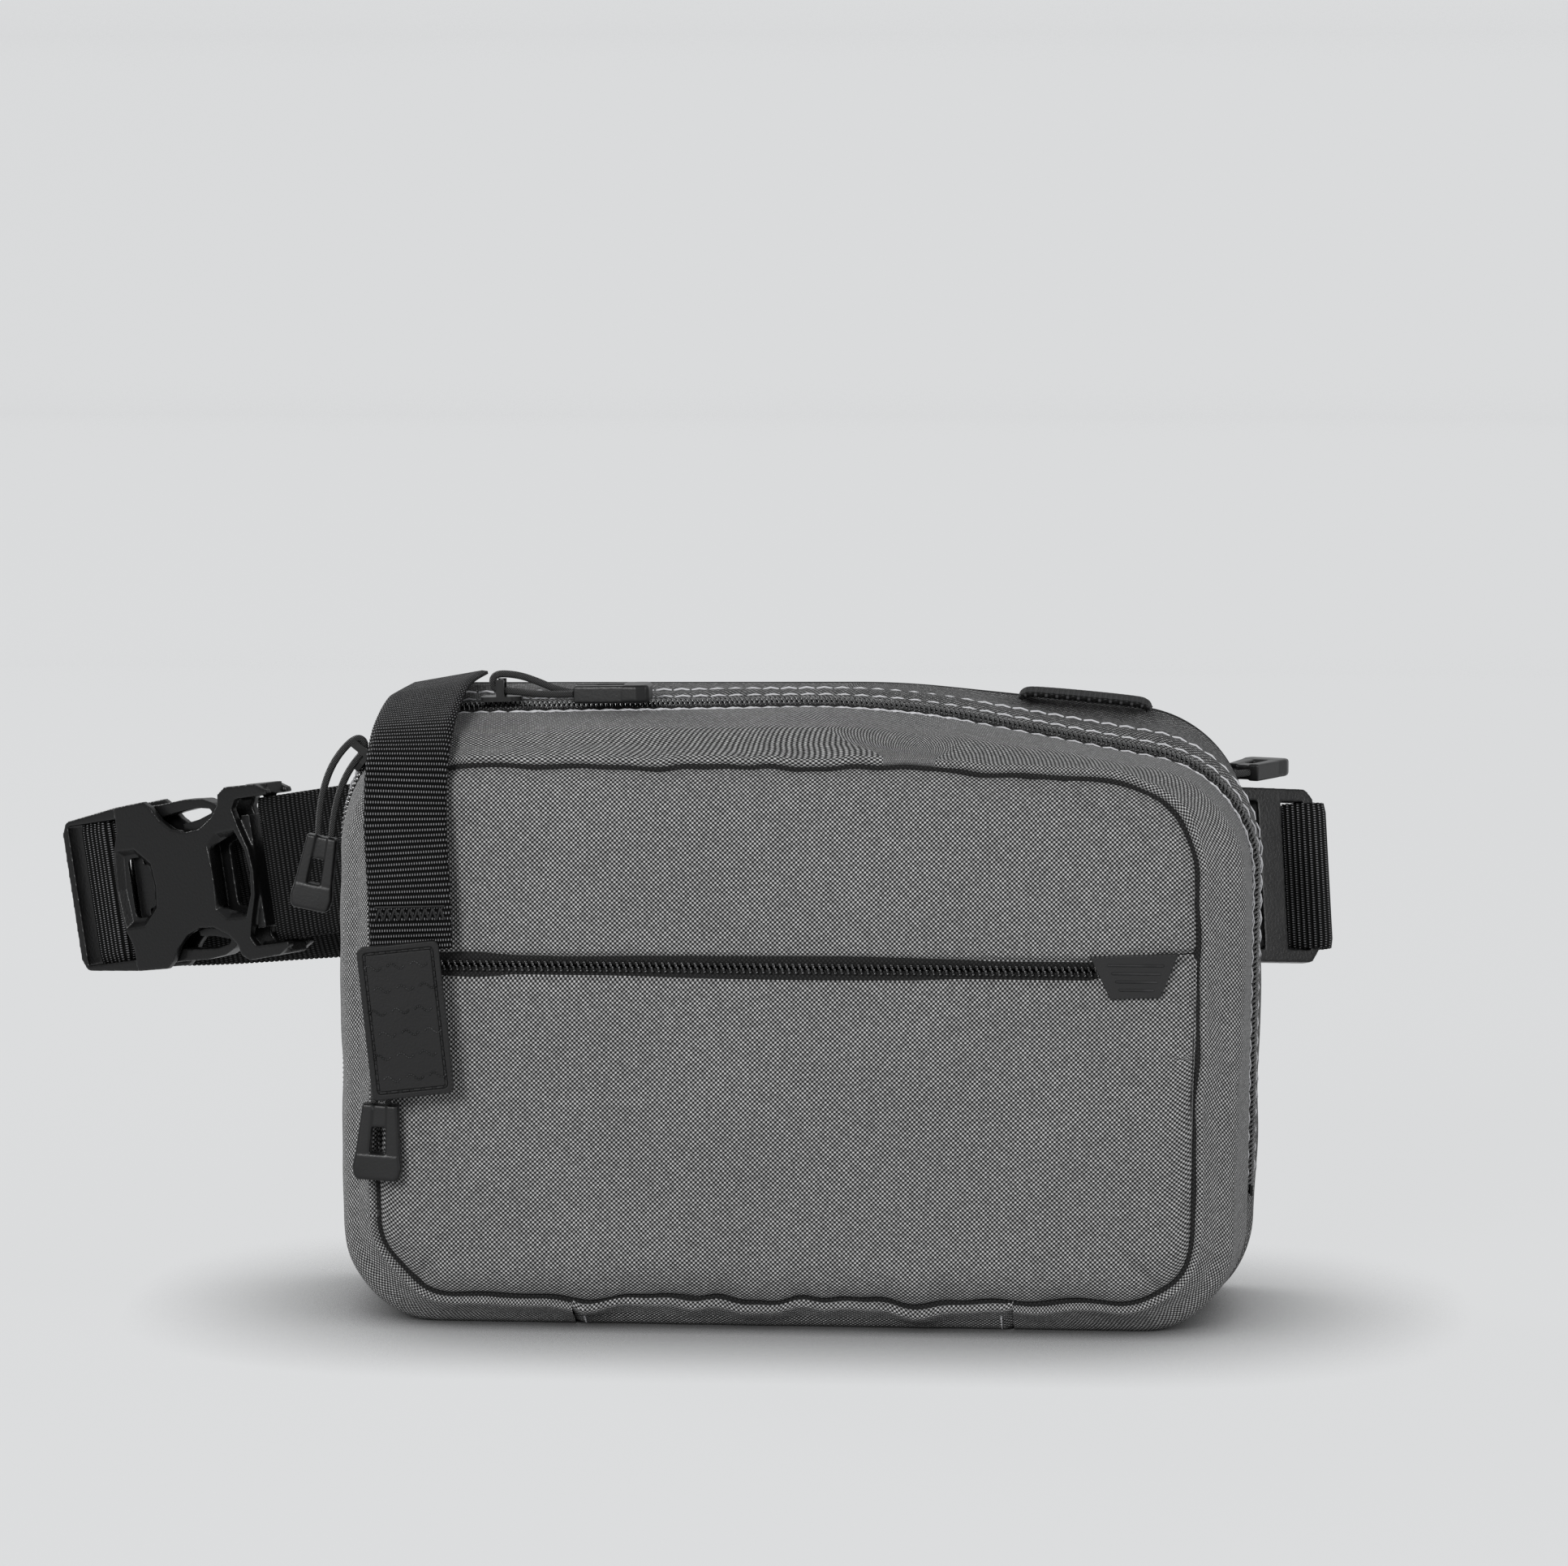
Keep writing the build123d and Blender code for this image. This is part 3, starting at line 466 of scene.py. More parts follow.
def gusset(name, mat, rows, ends, keep=None, lift=0.0, seed=1):
    """rows: (depth, outward offset); the last rows move to ends (per column) along the zip."""
    grid, v = [], []
    run = 0.0
    for y, off in rows:
        pts, normal = gusset_point(y, off + lift)
        yy = np.full(NCOL, y)
        grid.append(np.column_stack([pts[:, 0], yy, pts[:, 1]]))
    grid = np.array(grid)
    # the zip opening: the last row's edge is pulled back from the middle where the zip runs
    last = grid[-1]
    grid[-1][:, 1] = ends
    grid[-2][:, 1] = np.where(np.abs(ends) < 1, grid[-2][:, 1], grid[-2][:, 1])
    normals = np.zeros_like(grid)
    for i, (y, off) in enumerate(rows):
        _, nn = gusset_point(y, 0.0)
        normals[i] = np.column_stack([nn[:, 0], np.zeros(NCOL), nn[:, 1]])
    n = len(rows)
    flat = grid.reshape(-1, 3)
    depth = np.array([r[0] for r in rows])
    mid = np.sin(np.clip((depth - depth.min()) / (depth.max() - depth.min()), 0, 1) * math.pi)
    low = undulate(grid, 46.0, seed) * 0.8 + undulate(grid * [1, 1.4, 1], 21.0, seed + 1) * 0.35
    free = np.clip(grid[:, :, 2] / 10.0, 0, 1)       # the base stays flat on the floor
    amount = low * mid[:, None] * free
    # short gathers along the front seam, strongest round the corners
    seam = np.exp(-((depth - depth.min()) / 5.5) ** 2)
    arc = ARC[:NCOL]
    gather = np.zeros(NCOL)
    r = np.random.default_rng(seed + 5)
    for _ in range(46):
        c, w, h = r.uniform(0, GIRTH), r.uniform(1.6, 5.0), r.uniform(-0.9, 0.5)
        gather += h * np.exp(-((arc - c) / w) ** 2)
    if depth.min() < 0:
        amount = amount + (seam * np.clip((depth - depth.min()) / 2.5, 0, 1))[:, None] * gather[None, :] * free
    grid = grid + normals * amount[:, :, None]
    grid[:, :, 2] = np.maximum(grid[:, :, 2], 0.0)
    v = np.concatenate([[0], np.cumsum(np.linalg.norm(np.diff(grid[:, 100], axis=0), axis=1))])
    verts = np.concatenate([grid, grid[:, :1]], axis=1)
    uv = np.zeros((n, NCOL + 1, 2))
    uv[:, :, 0] = ARC[None, :]
    uv[:, :, 1] = v[:, None]
    obj = mesh(name, verts.reshape(-1, 3), grid_faces(n, NCOL + 1, keep=keep), mat, "grey_fabric",
               uvs=uv.reshape(-1, 2) * MM)
    return obj


def not_base(i, j):
    return not (CAB0 <= j < CAB1)


front_rows = [(-32.4, -2.6), (-33.3, -1.5), (-34.2, -0.75), (-34.9, 0.1), (-35.0, 0.9), (-34.1, 1.5), (-32.6, 1.3)]
front_rows += [(y, 0.5 * math.sin((y + 34) / 31 * math.pi) + 0.1) for y in np.linspace(-30.4, -4.6, 19)]
front_rows[-2:] = [(y, o - 0.35 * k) for k, (y, o) in enumerate(front_rows[-2:], 1)]
front_rows += [(-3.6, -0.95), (-2.9, -1.25), (-2.6, -2.1)]
ends_f = np.where(IN_ZIP > 0.5, -2.5, 0.0)
fg = gusset("front_gusset_fabric", M["grey_fabric"], front_rows, ends_f, keep=not_base, seed=3)
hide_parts("front_gusset")
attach(fg, "bag")

rear_rows = [(33.8, -0.2), (32.6, 0.25)]
rear_rows += [(y, 0.3 * math.sin((y - 3) / 31 * math.pi) + 0.05 + 1.9 * math.exp(-((y - 10.0) / 8.0) ** 2)) for y in np.linspace(31.0, 5.0, 26)]
rear_rows += [(4.2, 1.25), (3.5, 1.1), (2.9, 0.75), (2.6, -0.2)]
ends_r = np.where(IN_ZIP > 0.5, 2.5, 0.0)
# the rear strip takes the darker copy of the grey fabric: painted shade
rg = gusset("rear_gusset_fabric", M["rear_fabric"], rear_rows, ends_r, keep=not_base, seed=11)
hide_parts("rear_gusset")
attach(rg, "bag")

# base panel: one piece under both gussets, folded in at its two joints
base_grid, base_uv = [], []
ys = list(front_rows[:-2]) + [(0.0, 0.0)] + list(reversed(rear_rows[:-2]))
ys = sorted({round(y, 3): (y, o) for y, o in ys}.values(), key=lambda t: (t[0], t[1]))
ys = [(-33.9, -1.6)] + [t for t in front_rows[3:-3]] + [(-1.0, 0.1), (1.5, 0.1)] + list(reversed(rear_rows[:-3]))
for y, off in ys:
    ring, normal = gusset_point(y, off)
    cols = ring[CAB0:CAB1 + 1]
    fold = np.zeros(len(cols))
    fold[0] = fold[-1] = 1.0
    row = np.column_stack([cols[:, 0], np.full(len(cols), y), cols[:, 1]])
    row[:, 2] = row[:, 2] - 0.1 + 1.0 * fold
    row[:, 2] = np.maximum(row[:, 2], 0.0)
    base_grid.append(row)
base_grid = np.array(base_grid)
sag = undulate(base_grid, 26.0, 31) * 0.5 * np.exp(-((base_grid[:, :, 1] + 34) / 6) ** 2)
base_grid[:, :, 2] = np.maximum(base_grid[:, :, 2] + sag, 0.0)
v = np.concatenate([[0], np.cumsum(np.linalg.norm(np.diff(base_grid[:, 20], axis=0), axis=1))])
uv = np.zeros(base_grid.shape[:2] + (2,))
uv[:, :, 0] = base_grid[:, :, 0]
uv[:, :, 1] = v[:, None]
bp = mesh("base_panel_fabric", base_grid.reshape(-1, 3), grid_faces(*base_grid.shape[:2]), M["grey_fabric"],
          "grey_fabric", uvs=uv.reshape(-1, 2) * MM)
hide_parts("base_panel")
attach(bp, "bag")

# ---------------------------------------------------------------- front panels
RING_A, RINGN_A = rounded(OUT_A, RAD_A, 1.7)
RING_A = RING_A + RINGN_A * wobble(RING_A)[:, None]


def edge_distance(x, z, ring):
    """Distance in millimetres from points inside the outline to its line."""
    a = ring
    b = np.roll(ring, -1, axis=0)
    p = np.stack([x, z], -1).reshape(-1, 1, 2)
    best = np.full(p.shape[0], 1e9)
    for s in range(0, p.shape[0], 4000):
        q = p[s:s + 4000]
        ab = (b - a)[None]
        t = np.clip(((q - a[None]) * ab).sum(-1) / np.maximum((ab ** 2).sum(-1), 1e-9), 0, 1)
        d = np.linalg.norm(q - (a[None] + ab * t[..., None]), axis=-1).min(1)
        best[s:s + 4000] = d
    return best.reshape(x.shape)


def side_limits(z, ring):
    """Left and right ends of the outline at height z."""
    a, b = ring, np.roll(ring, -1, axis=0)
    xs = []
    for p, q in zip(a, b):
        if (p[1] - z) * (q[1] - z) <= 0 and p[1] != q[1]:
            xs.append(p[0] + (q[0] - p[0]) * (z - p[1]) / (q[1] - p[1]))
    return min(xs), max(xs)


def top_line(x, ring, upper=True):
    best = None
    a, b = ring, np.roll(ring, -1, axis=0)
    for p, q in zip(a, b):
        if (p[0] - x) * (q[0] - x) <= 0 and p[0] != q[0]:
            z = p[1] + (q[1] - p[1]) * (x - p[0]) / (q[0] - p[0])
            if best is None or (z > best if upper else z < best):
                best = z
    return best


def crowned_panel(name, mat, slot, ring, x_lines, low, high, face_y, rim_y, sign, roll=9.0, seed=5, extra=None):
    """A padded panel between two height lines, low(x) and high(x), inside an outline; it rolls back at its edges."""
    n, m = 110, x_lines
    zmin, zmax = ring[:, 1].min() + 0.02, ring[:, 1].max() - 0.02
    xs = np.linspace(ring[:, 0].min() + 0.02, ring[:, 0].max() - 0.02, m)
    # columns are tightened towards both ends so that the corners stay smooth
    t = np.linspace(0, math.pi, m)
    xs = (xs.min() + xs.max()) / 2 - (xs.max() - xs.min()) / 2 * (0.35 * np.cos(t) + 0.65 * (1 - 2 * t / math.pi))
    grid = np.zeros((n, m, 3))
    dist_low, dist_high = np.zeros((n, m)), np.zeros((n, m))
    for j, x in enumerate(xs):
        a = max(low(x), top_line(x, ring, False))
        b = min(high(x), top_line(x, ring, True))
        s = np.linspace(0, math.pi, n)
        s = 0.5 * (0.4 * (1 - np.cos(s)) + 0.6 * (2 * s / math.pi))
        z = a + (b - a) * s
        grid[:, j, 0] = x
        grid[:, j, 2] = z
        dist_low[:, j] = z - low(x)
        dist_high[:, j] = high(x) - z
    d = edge_distance(grid[:, :, 0], grid[:, :, 2], ring)
    rise = np.sqrt(np.clip(1 - (1 - np.clip(d / roll, 0, 1)) ** 2, 0, 1))
    y = rim_y + (face_y - rim_y) * rise
    grid[:, :, 1] = y
    if extra is not None:
        grid[:, :, 1] += extra(grid, d, dist_low, dist_high)
    uv = np.stack([grid[:, :, 0], grid[:, :, 2]], -1)
    uv[:, :, 1] += 0.5 * (1 - rise) * np.where(grid[:, :, 2] > 70, 1, -1) * 4
    faces = grid_faces(n, m)
    if sign > 0:
        faces = [tuple(reversed(f)) for f in faces]
    return mesh(name, grid.reshape(-1, 3), faces, mat, slot, uvs=uv.reshape(-1, 2) * MM)


def slot_ease(x):
    """1 inside the front zip's opening, 0 beyond its ends."""
    return float(np.clip((x + 99.0) / 5.0, 0, 1) * np.clip((80.0 - x) / 4.0, 0, 1))


def seam_z(x):
    """The line where the two front panels meet: it rises to the right past the tag."""
    return FZM + 0.8 * slot_ease(x) * 0 + (4.2 * np.clip((x - 74.0) / 22.0, 0, 1) if x > 74.0 else 0.0)


def front_extra(grid, d, lo, hi):
    x, z = grid[:, :, 0], grid[:, :, 2]
    wide = undulate(grid, 78.0, 41) * 0.95 + undulate(grid * [0.7, 1, 1.2], 30.0, 43) * 0.42
    out = -wide * np.clip(d / 14.0, 0, 1)
    # gathers at the seam, running in from the edge
    r = np.random.default_rng(17)
    ang = np.arctan2(z - 74.0, x)
    for _ in range(52):
        c, w, h = r.uniform(-math.pi, math.pi), r.uniform(0.012, 0.04), r.uniform(-0.5, 0.9)
        out += h * np.exp(-((ang - c) / w) ** 2) * np.exp(-((d - 2.5) / r.uniform(4.0, 10.0)) ** 2) * np.clip(d / 2.0, 0, 1)
    # the strap presses the left edge in
    out += 1.5 * np.exp(-((x + 84.0) / 7.0) ** 2) * np.clip((z - 92.0) / 10.0, 0, 1) * np.clip((138 - z) / 12.0, 0, 1)
    out += 0.8 * np.exp(-((x + 76.0) / 6.0) ** 2) * np.clip((106.0 - z) / 10.0, 0, 1) * np.clip((z - 52) / 12.0, 0, 1)
    # folds at the top right corner
    for cx, cz, dx, dz, w, l, h in ((72, 133, 0.75, -0.66, 1.1, 9.0, 1.5), (84, 128, 0.5, -0.86, 1.3, 9.0, 1.2),
                                    (60, 137, 0.9, -0.42, 1.1, 10.0, 1.0), (-24, 9, 0.2, 1.0, 2.2, 6.0, 1.3),
                                    (40, 9, -0.1, 1.0, 3.0, 6.0, 1.1), (88, 16, -0.7, 0.7, 1.4, 8.0, 1.4),
                                    (-60, 137, 0.8, -0.6, 1.6, 12.0, 0.8), (-20, 138, 0.7, -0.7, 2.4, 14.0, 0.7),
                                    (-88, 17, 0.6, 0.8, 1.6, 8.0, 1.2)):
        s = (x - cx) * dx + (z - cz) * dz
        p = -(x - cx) * dz + (z - cz) * dx
        out += h * np.exp(-(p / w) ** 2) * np.exp(-(s / l) ** 2)
    # the pocket front stays behind the hanging pull
    low = np.clip((84.0 - z) / 12.0, 0, 1)
    held = np.where(out < -0.1, -0.1 - 0.35 * np.tanh((-0.1 - out) / 0.7), out)
    return out * (1 - low) + held * low


def lips(grid, d, dist):
    """How far a cut edge rolls back towards the zip tape."""
    return 1.5 * np.exp(-(dist / 0.9) ** 2) + 0.5 * np.exp(-(dist / 2.6) ** 2)


upper = crowned_panel("front_upper_fabric", M["grey_fabric"], "grey_fabric", RING_A, 260,
                      lambda x: seam_z(x) + 0.12 + 2.1 * slot_ease(x), lambda x: 1e3, -39.3, -33.4, -1,
                      extra=lambda g, d, lo, hi: front_extra(g, d, lo, hi) + lips(g, d, lo))
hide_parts("front_upper_panel")
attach(upper, "bag")
lower = crowned_panel("front_lower_fabric", M["grey_fabric"], "grey_fabric", RING_A, 260,
                      lambda x: -1e3, lambda x: seam_z(x) - 0.12 - 2.1 * slot_ease(x), -39.5, -33.4, -1,
                      extra=lambda g, d, lo, hi: front_extra(g, d, lo, hi) + lips(g, d, hi))
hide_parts("front_lower_panel")
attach(lower, "bag")

# ---------------------------------------------------------------- seams and stitches


def ring_tube(name, mat, slot, pts, radius, sides=8, closed=True, pitch=None):
    """Tube along a closed list of points, with a UV in metres."""
    pts = np.asarray(pts, float)
    n = len(pts)
    nxt = np.roll(pts, -1, axis=0) - np.roll(pts, 1, axis=0)
    t = nxt / np.linalg.norm(nxt, axis=1)[:, None]
    a = np.cross(t, [0, 1, 0])
    a /= np.linalg.norm(a, axis=1)[:, None]
    b = np.cross(t, a)
    run = np.concatenate([[0], np.cumsum(np.linalg.norm(np.diff(pts, axis=0), axis=1))])
    verts, uv = [], []
    for i in range(n):
        for k in range(sides + 1):
            c = 2 * math.pi * k / sides
            verts.append(pts[i] + (a[i] * math.cos(c) + b[i] * math.sin(c)) * radius)
            uv.append((run[i] * MM, radius * c * MM))
    return mesh(name, verts, grid_faces(n, sides + 1, closed_n=closed), mat, slot, uvs=uv)


seam_ring, seam_nor = rounded(OUT_A, RAD_A, 1.3)
seam_ring = seam_ring + seam_nor * wobble(seam_ring)[:, None]
piping = ring_tube("front_seam_cord", M["zip_tape"], "zip_tape",
                   np.column_stack([seam_ring[:, 0], np.full(NCOL, -33.3), seam_ring[:, 1]]), 1.25)
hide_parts("front_piping")
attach(piping, "bag")


class Path:
    """Arc-length lookup along the closed ring at one depth."""

    def __init__(self, y, offset=0.0):
        ring, normal = gusset_point(y, offset)
        self.pts = np.column_stack([ring[:, 0], np.full(NCOL, y), ring[:, 1]])
        self.nor = np.column_stack([normal[:, 0], np.zeros(NCOL), normal[:, 1]])
        closed = np.vstack([self.pts, self.pts[:1]])
        self.run = np.concatenate([[0], np.cumsum(np.linalg.norm(np.diff(closed, axis=0), axis=1))])
        self.total = self.run[-1]
        self.closed = closed
        self.cn = np.vstack([self.nor, self.nor[:1]])

    def at(self, s):
        s = s % self.total
        p = np.array([np.interp(s, self.run, self.closed[:, k]) for k in range(3)])
        n = np.array([np.interp(s, self.run, self.cn[:, k]) for k in range(3)])
        return p, n / np.linalg.norm(n)


def stitch_row(name, y, offset, length, gap, keep, radius=0.26, mat="pale_thread", dip=0.28, slot="grey_fabric", skew=0.25):
    path = Path(y, offset)
    items = []
    s = 0.0
    while s < path.total - length:
        a, na = path.at(s)
        m, nm = path.at(s + length / 2)
        b, nb = path.at(s + length)
        if keep(m):
            jit = rng.normal(0, 0.07)
            mid = m + nm * 0.12
            a2 = a - na * dip + [0, jit + skew, 0]
            b2 = b - nb * dip + [0, jit - skew * 0.2, 0]
            items.append((a2, mid + (mid - a2) * 0.08, radius))
            items.append((mid + (mid - b2) * 0.08, b2, radius))
        s += length + gap
    obj = capsules(name, items, M[mat], slot, sides=6)
    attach(obj, "bag")
    return obj


def above(z, x0=-200.0):
    return lambda p: p[2] > z and p[0] > x0


stitch_row("rear_topstitch_a", 5.2, 1.55, 4.0, 0.5, above(34))
stitch_row("rear_topstitch_b", 11.0, 2.3, 4.0, 0.5, above(34))
stitch_row("front_topstitch_a", -5.4, -0.1, 4.0, 0.5, above(34), radius=0.22)
stitch_row("front_topstitch_b", -7.4, 0.4, 4.0, 0.5, lambda p: p[2] > 34 and (p[0] > 96 or (p[2] > 120 and -70 < p[0] < 40)), radius=0.2)


def line_stitches(name, a, b, normal, length, gap, radius, mat="pale_thread", slot="grey_fabric", body="bag"):
    a, b, normal = np.asarray(a, float), np.asarray(b, float), np.asarray(normal, float)
    total = np.linalg.norm(b - a)
    d = (b - a) / total
    items, s = [], 0.0
    while s + length <= total + 0.01:
        p, q = a + d * s, a + d * (s + length)
        items.append((p - normal * 0.15, q - normal * 0.15, radius))
        s += length + gap
    obj = capsules(name, items, M[mat], slot)
    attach(obj, body)
    return obj


# rows beside the base panel's joints, over the rolled front edge and under the bag
def base_row(name, x):
    pts = []
    for y in np.linspace(-34.2, 33.0, 60):
        ring, normal = gusset_point(y, 0.0)
        z = float(np.interp(x, ring[CAB0:CAB1 + 1, 0], ring[CAB0:CAB1 + 1, 1]))
        pts.append((x, y, z))
    items = []
    for i in range(0, 10):
        a, b = np.array(pts[i]), np.array(pts[i + 1])
        out = np.array([0, -0.9, -0.2]) if a[1] < -30 else np.array([0, -0.5, -0.1])
        items.append((a + out, a + (b - a) * 0.85 + out, 0.22))
    obj = capsules(name, items, M["pale_thread"], "grey_fabric")
    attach(obj, "bag")


base_row("base_stitch_left", BASE_X0 + 2.6)
base_row("base_stitch_right", BASE_X1 - 3.0)

# ---------------------------------------------------------------- main zip
zip_keep = np.where(RING0[:, 1] > 29.5)[0]
# the zip runs over the top from the right end to the left end
order = [j for j in range(NCOL) if RING0[j, 1] > 29.5]


def zip_strip(name, y0, y1, off0, off1, mat, slot):
    cols = order
    path = RING0[cols]
    nor = RINGN0[cols]
    rows = []
    for t in np.linspace(0, 1, 5):
        y = y0 + (y1 - y0) * t
        off = off0 + (off1 - off0) * t + 0.12 * math.sin(t * math.pi)
        p = path + nor * off
        rows.append(np.column_stack([p[:, 0], np.full(len(cols), y), p[:, 1]]))
    g = np.array(rows)
    uv = np.zeros(g.shape[:2] + (2,))
    uv[:, :, 0] = ARC[cols][None]
    uv[:, :, 1] = np.linspace(y0, y1, 5)[:, None]
    obj = mesh(name, g.reshape(-1, 3), grid_faces(*g.shape[:2]), mat, slot, uvs=uv.reshape(-1, 2) * MM)
    mod = obj.modifiers.new("thick", "SOLIDIFY")
    mod.thickness = 0.0005
    mod.offset = 0
    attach(obj, "bag")
    return obj


tf = zip_strip("main_tape_front", -3.6, -0.4, -2.2, 0.0, M["zip_tape"], "zip_tape")
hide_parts("main_zip_tape_front")
tr = zip_strip("main_tape_rear", 0.4, 3.6, 0.3, 0.5, M["zip_tape"], "zip_tape")
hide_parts("main_zip_tape_rear")

run0 = ARC[:NCOL]
s_start, s_end = run0[order[0]], run0[order[-1]]


def main_tooth(s, side):
    """One coil turn: a leg across the tape and a rounded head past the middle line."""
    x = np.interp(s, run0, RING0[:, 0])
    z = np.interp(s, run0, RING0[:, 1])
    nx = np.interp(s, run0, RINGN0[:, 0])
    nz = np.interp(s, run0, RINGN0[:, 1])
    p, n = np.array([x, 0, z]), np.array([nx, 0, nz])
    t = np.array([-nz, 0, nx])
    a = p + n * (0.42 + side * 0.80) + [0, side * 1.6, 0] + t * 0.22 * side
    b = p + n * (0.62 - side * 0.11) + [0, side * -0.22, 0] - t * 0.16 * side
    return a, b, 0.4


teeth_f, teeth_r = [], []
s = s_start
while s < s_end:
    teeth_f.append(main_tooth(s, -1))
    teeth_r.append(main_tooth(s + 0.62, 1))
    s += 1.24
cf = capsules("main_coil_front", teeth_f, M["zip_coil"], "zip_coil", sides=7)
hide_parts("main_zip_coil_front")
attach(cf, "bag")
cr = capsules("main_coil_rear", teeth_r, M["zip_coil"], "zip_coil", sides=7)
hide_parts("main_zip_coil_rear")
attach(cr, "bag")

# ---------------------------------------------------------------- straight zips


def flat_strip(name, x0, x1, z0, z1, y, mat, slot, bow=0.15):
    n, m = 7, 80
    g = np.zeros((n, m, 3))
    for i, t in enumerate(np.linspace(0, 1, n)):
        g[i, :, 0] = np.linspace(x0, x1, m)
        g[i, :, 1] = y - bow * math.sin(t * math.pi) * np.sign(-y)
        g[i, :, 2] = z0 + (z1 - z0) * t
    uv = np.stack([g[:, :, 0], g[:, :, 2]], -1)
    obj = mesh(name, g.reshape(-1, 3), grid_faces(n, m), mat, slot, uvs=uv.reshape(-1, 2) * MM)
    mod = obj.modifiers.new("thick", "SOLIDIFY")
    mod.thickness = 0.0005
    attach(obj, "bag")
    return obj


def straight_teeth(name_a, name_b, x0, x1, zc, y, out, pitch, reach, r):
    """Coil rows: every turn shows a bead on each side and a leg towards the middle."""
    low, high = [], []
    x = x0
    while x < x1:
        for side, items, shift in ((1, high, 0.0), (-1, low, pitch / 2)):
            a = np.array([x + shift, y, zc + side * reach])
            b = np.array([x + shift + 0.25 * side, y + out * 0.35, zc - side * 0.15])
            items.append((a, b, r * 0.8))
            bead = a + [0, out * 0.42, -side * 0.42]
            items.append((bead + [-0.1, 0, -side * 0.28], bead + [0.12, 0, side * 0.28], r * 1.08))
        x += pitch
    oa = capsules(name_a, high, M["zip_coil"], "zip_coil", sides=7)
    ob = capsules(name_b, low, M["zip_coil"], "zip_coil", sides=7)
    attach(oa, "bag")
    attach(ob, "bag")
    return oa, ob


o = flat_strip("front_tape_upper", -97.0, 79.0, FZM + 0.5, FZM + 4.4, -37.3, M["zip_tape"], "zip_tape")
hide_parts("front_zip_tape_upper")
o = flat_strip("front_tape_lower", -97.0, 79.0, FZM - 4.4, FZM - 0.5, -37.3, M["zip_tape"], "zip_tape")
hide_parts("front_zip_tape_lower")
a, b = straight_teeth("front_coil_upper", "front_coil_lower", -94.0, 76.0, FZM, -38.15, -1.0, 1.6, 1.45, 0.46)
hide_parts("front_zip_coil_upper")
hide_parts("front_zip_coil_lower")

YB = 38.4
o = flat_strip("rear_tape", -74.0, 99.0, 126.6, 135.4, YB + 0.6, M["zip_tape"], "zip_tape")
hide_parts("rear_zip_tape")
a, b = straight_teeth("rear_coil_upper", "rear_coil_lower", -73.0, 98.0, 131.0, YB + 1.0, 1.0, 1.6, 1.2, 0.42)
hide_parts("rear_zip_coil")

# ---------------------------------------------------------------- back panel and binding
RING_C, _ = rounded(OUT_C, RAD_C, 1.5)


def back_extra(grid, d, lo, hi):
    x, z = grid[:, :, 0], grid[:, :, 2]
    out = undulate(grid, 60.0, 71) * 0.25 * np.clip(d / 10, 0, 1)
    # three sewn channels in the padding
    for zc in (38.0, 74.0, 104.0):
        out -= 1.1 * np.exp(-((z - zc) / 1.6) ** 2) * np.clip((d - 3) / 6, 0, 1)
    return out


back = crowned_panel("back_panel_mesh", M["back_fabric"], "back_fabric", RING_C, 220, lambda x: -1e3, lambda x: 1e3,
                     YB + 0.4, 36.6, 1, roll=8.0, extra=back_extra)
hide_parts("back_panel", "back_foam")
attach(back, "bag")

rows = [(33.4, -0.5), (33.7, -0.1), (34.4, 0.1), (35.6, 0.15), (36.8, 0.0), (37.5, -0.4), (37.75, -1.0), (37.5, -2.2), (36.9, -2.6)]
prof = []
for y, off in rows:
    ring, normal = rounded(OUT_C, RAD_C)
    p = ring + normal * off
    g = np.column_stack([p[:, 0], np.full(NCOL, y), np.maximum(p[:, 1], 0.0)])
    prof.append(np.vstack([g, g[:1]]))
prof = np.array(prof)
pv = np.concatenate([[0], np.cumsum(np.linalg.norm(np.diff(prof[:, 100], axis=0), axis=1))])
uv = np.zeros(prof.shape[:2] + (2,))
uv[:, :, 0] = ARC[None]
uv[:, :, 1] = pv[:, None]
o = mesh("rear_binding_tape", prof.reshape(-1, 3), grid_faces(*prof.shape[:2]), M["binding_tape"], "binding_tape",
         uvs=uv.reshape(-1, 2) * MM)
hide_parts("rear_binding")
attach(o, "bag")

# ---------------------------------------------------------------- webbing


def smooth_path(points, step):
    """Catmull-Rom through the points (any dimension), resampled to even steps of the first three."""
    p = np.asarray(points, float)
    p = np.vstack([2 * p[0] - p[1], p, 2 * p[-1] - p[-2]])
    out = []
    for i in range(1, len(p) - 2):
        for t in np.linspace(0, 1, 24, endpoint=False):
            t2, t3 = t * t, t * t * t
            out.append(0.5 * ((2 * p[i]) + (p[i + 1] - p[i - 1]) * t + (2 * p[i - 1] - 5 * p[i] + 4 * p[i + 1] - p[i + 2]) * t2
                              + (3 * p[i] - p[i - 1] - 3 * p[i + 1] + p[i + 2]) * t3))
    out.append(p[-2])
    out = np.array(out)
    run = np.concatenate([[0], np.cumsum(np.linalg.norm(np.diff(out[:, :3], axis=0), axis=1))])
    count = max(int(run[-1] / step), 4)
    s = np.linspace(0, run[-1], count + 1)
    return np.column_stack([np.interp(s, run, out[:, k]) for k in range(out.shape[1])]), s


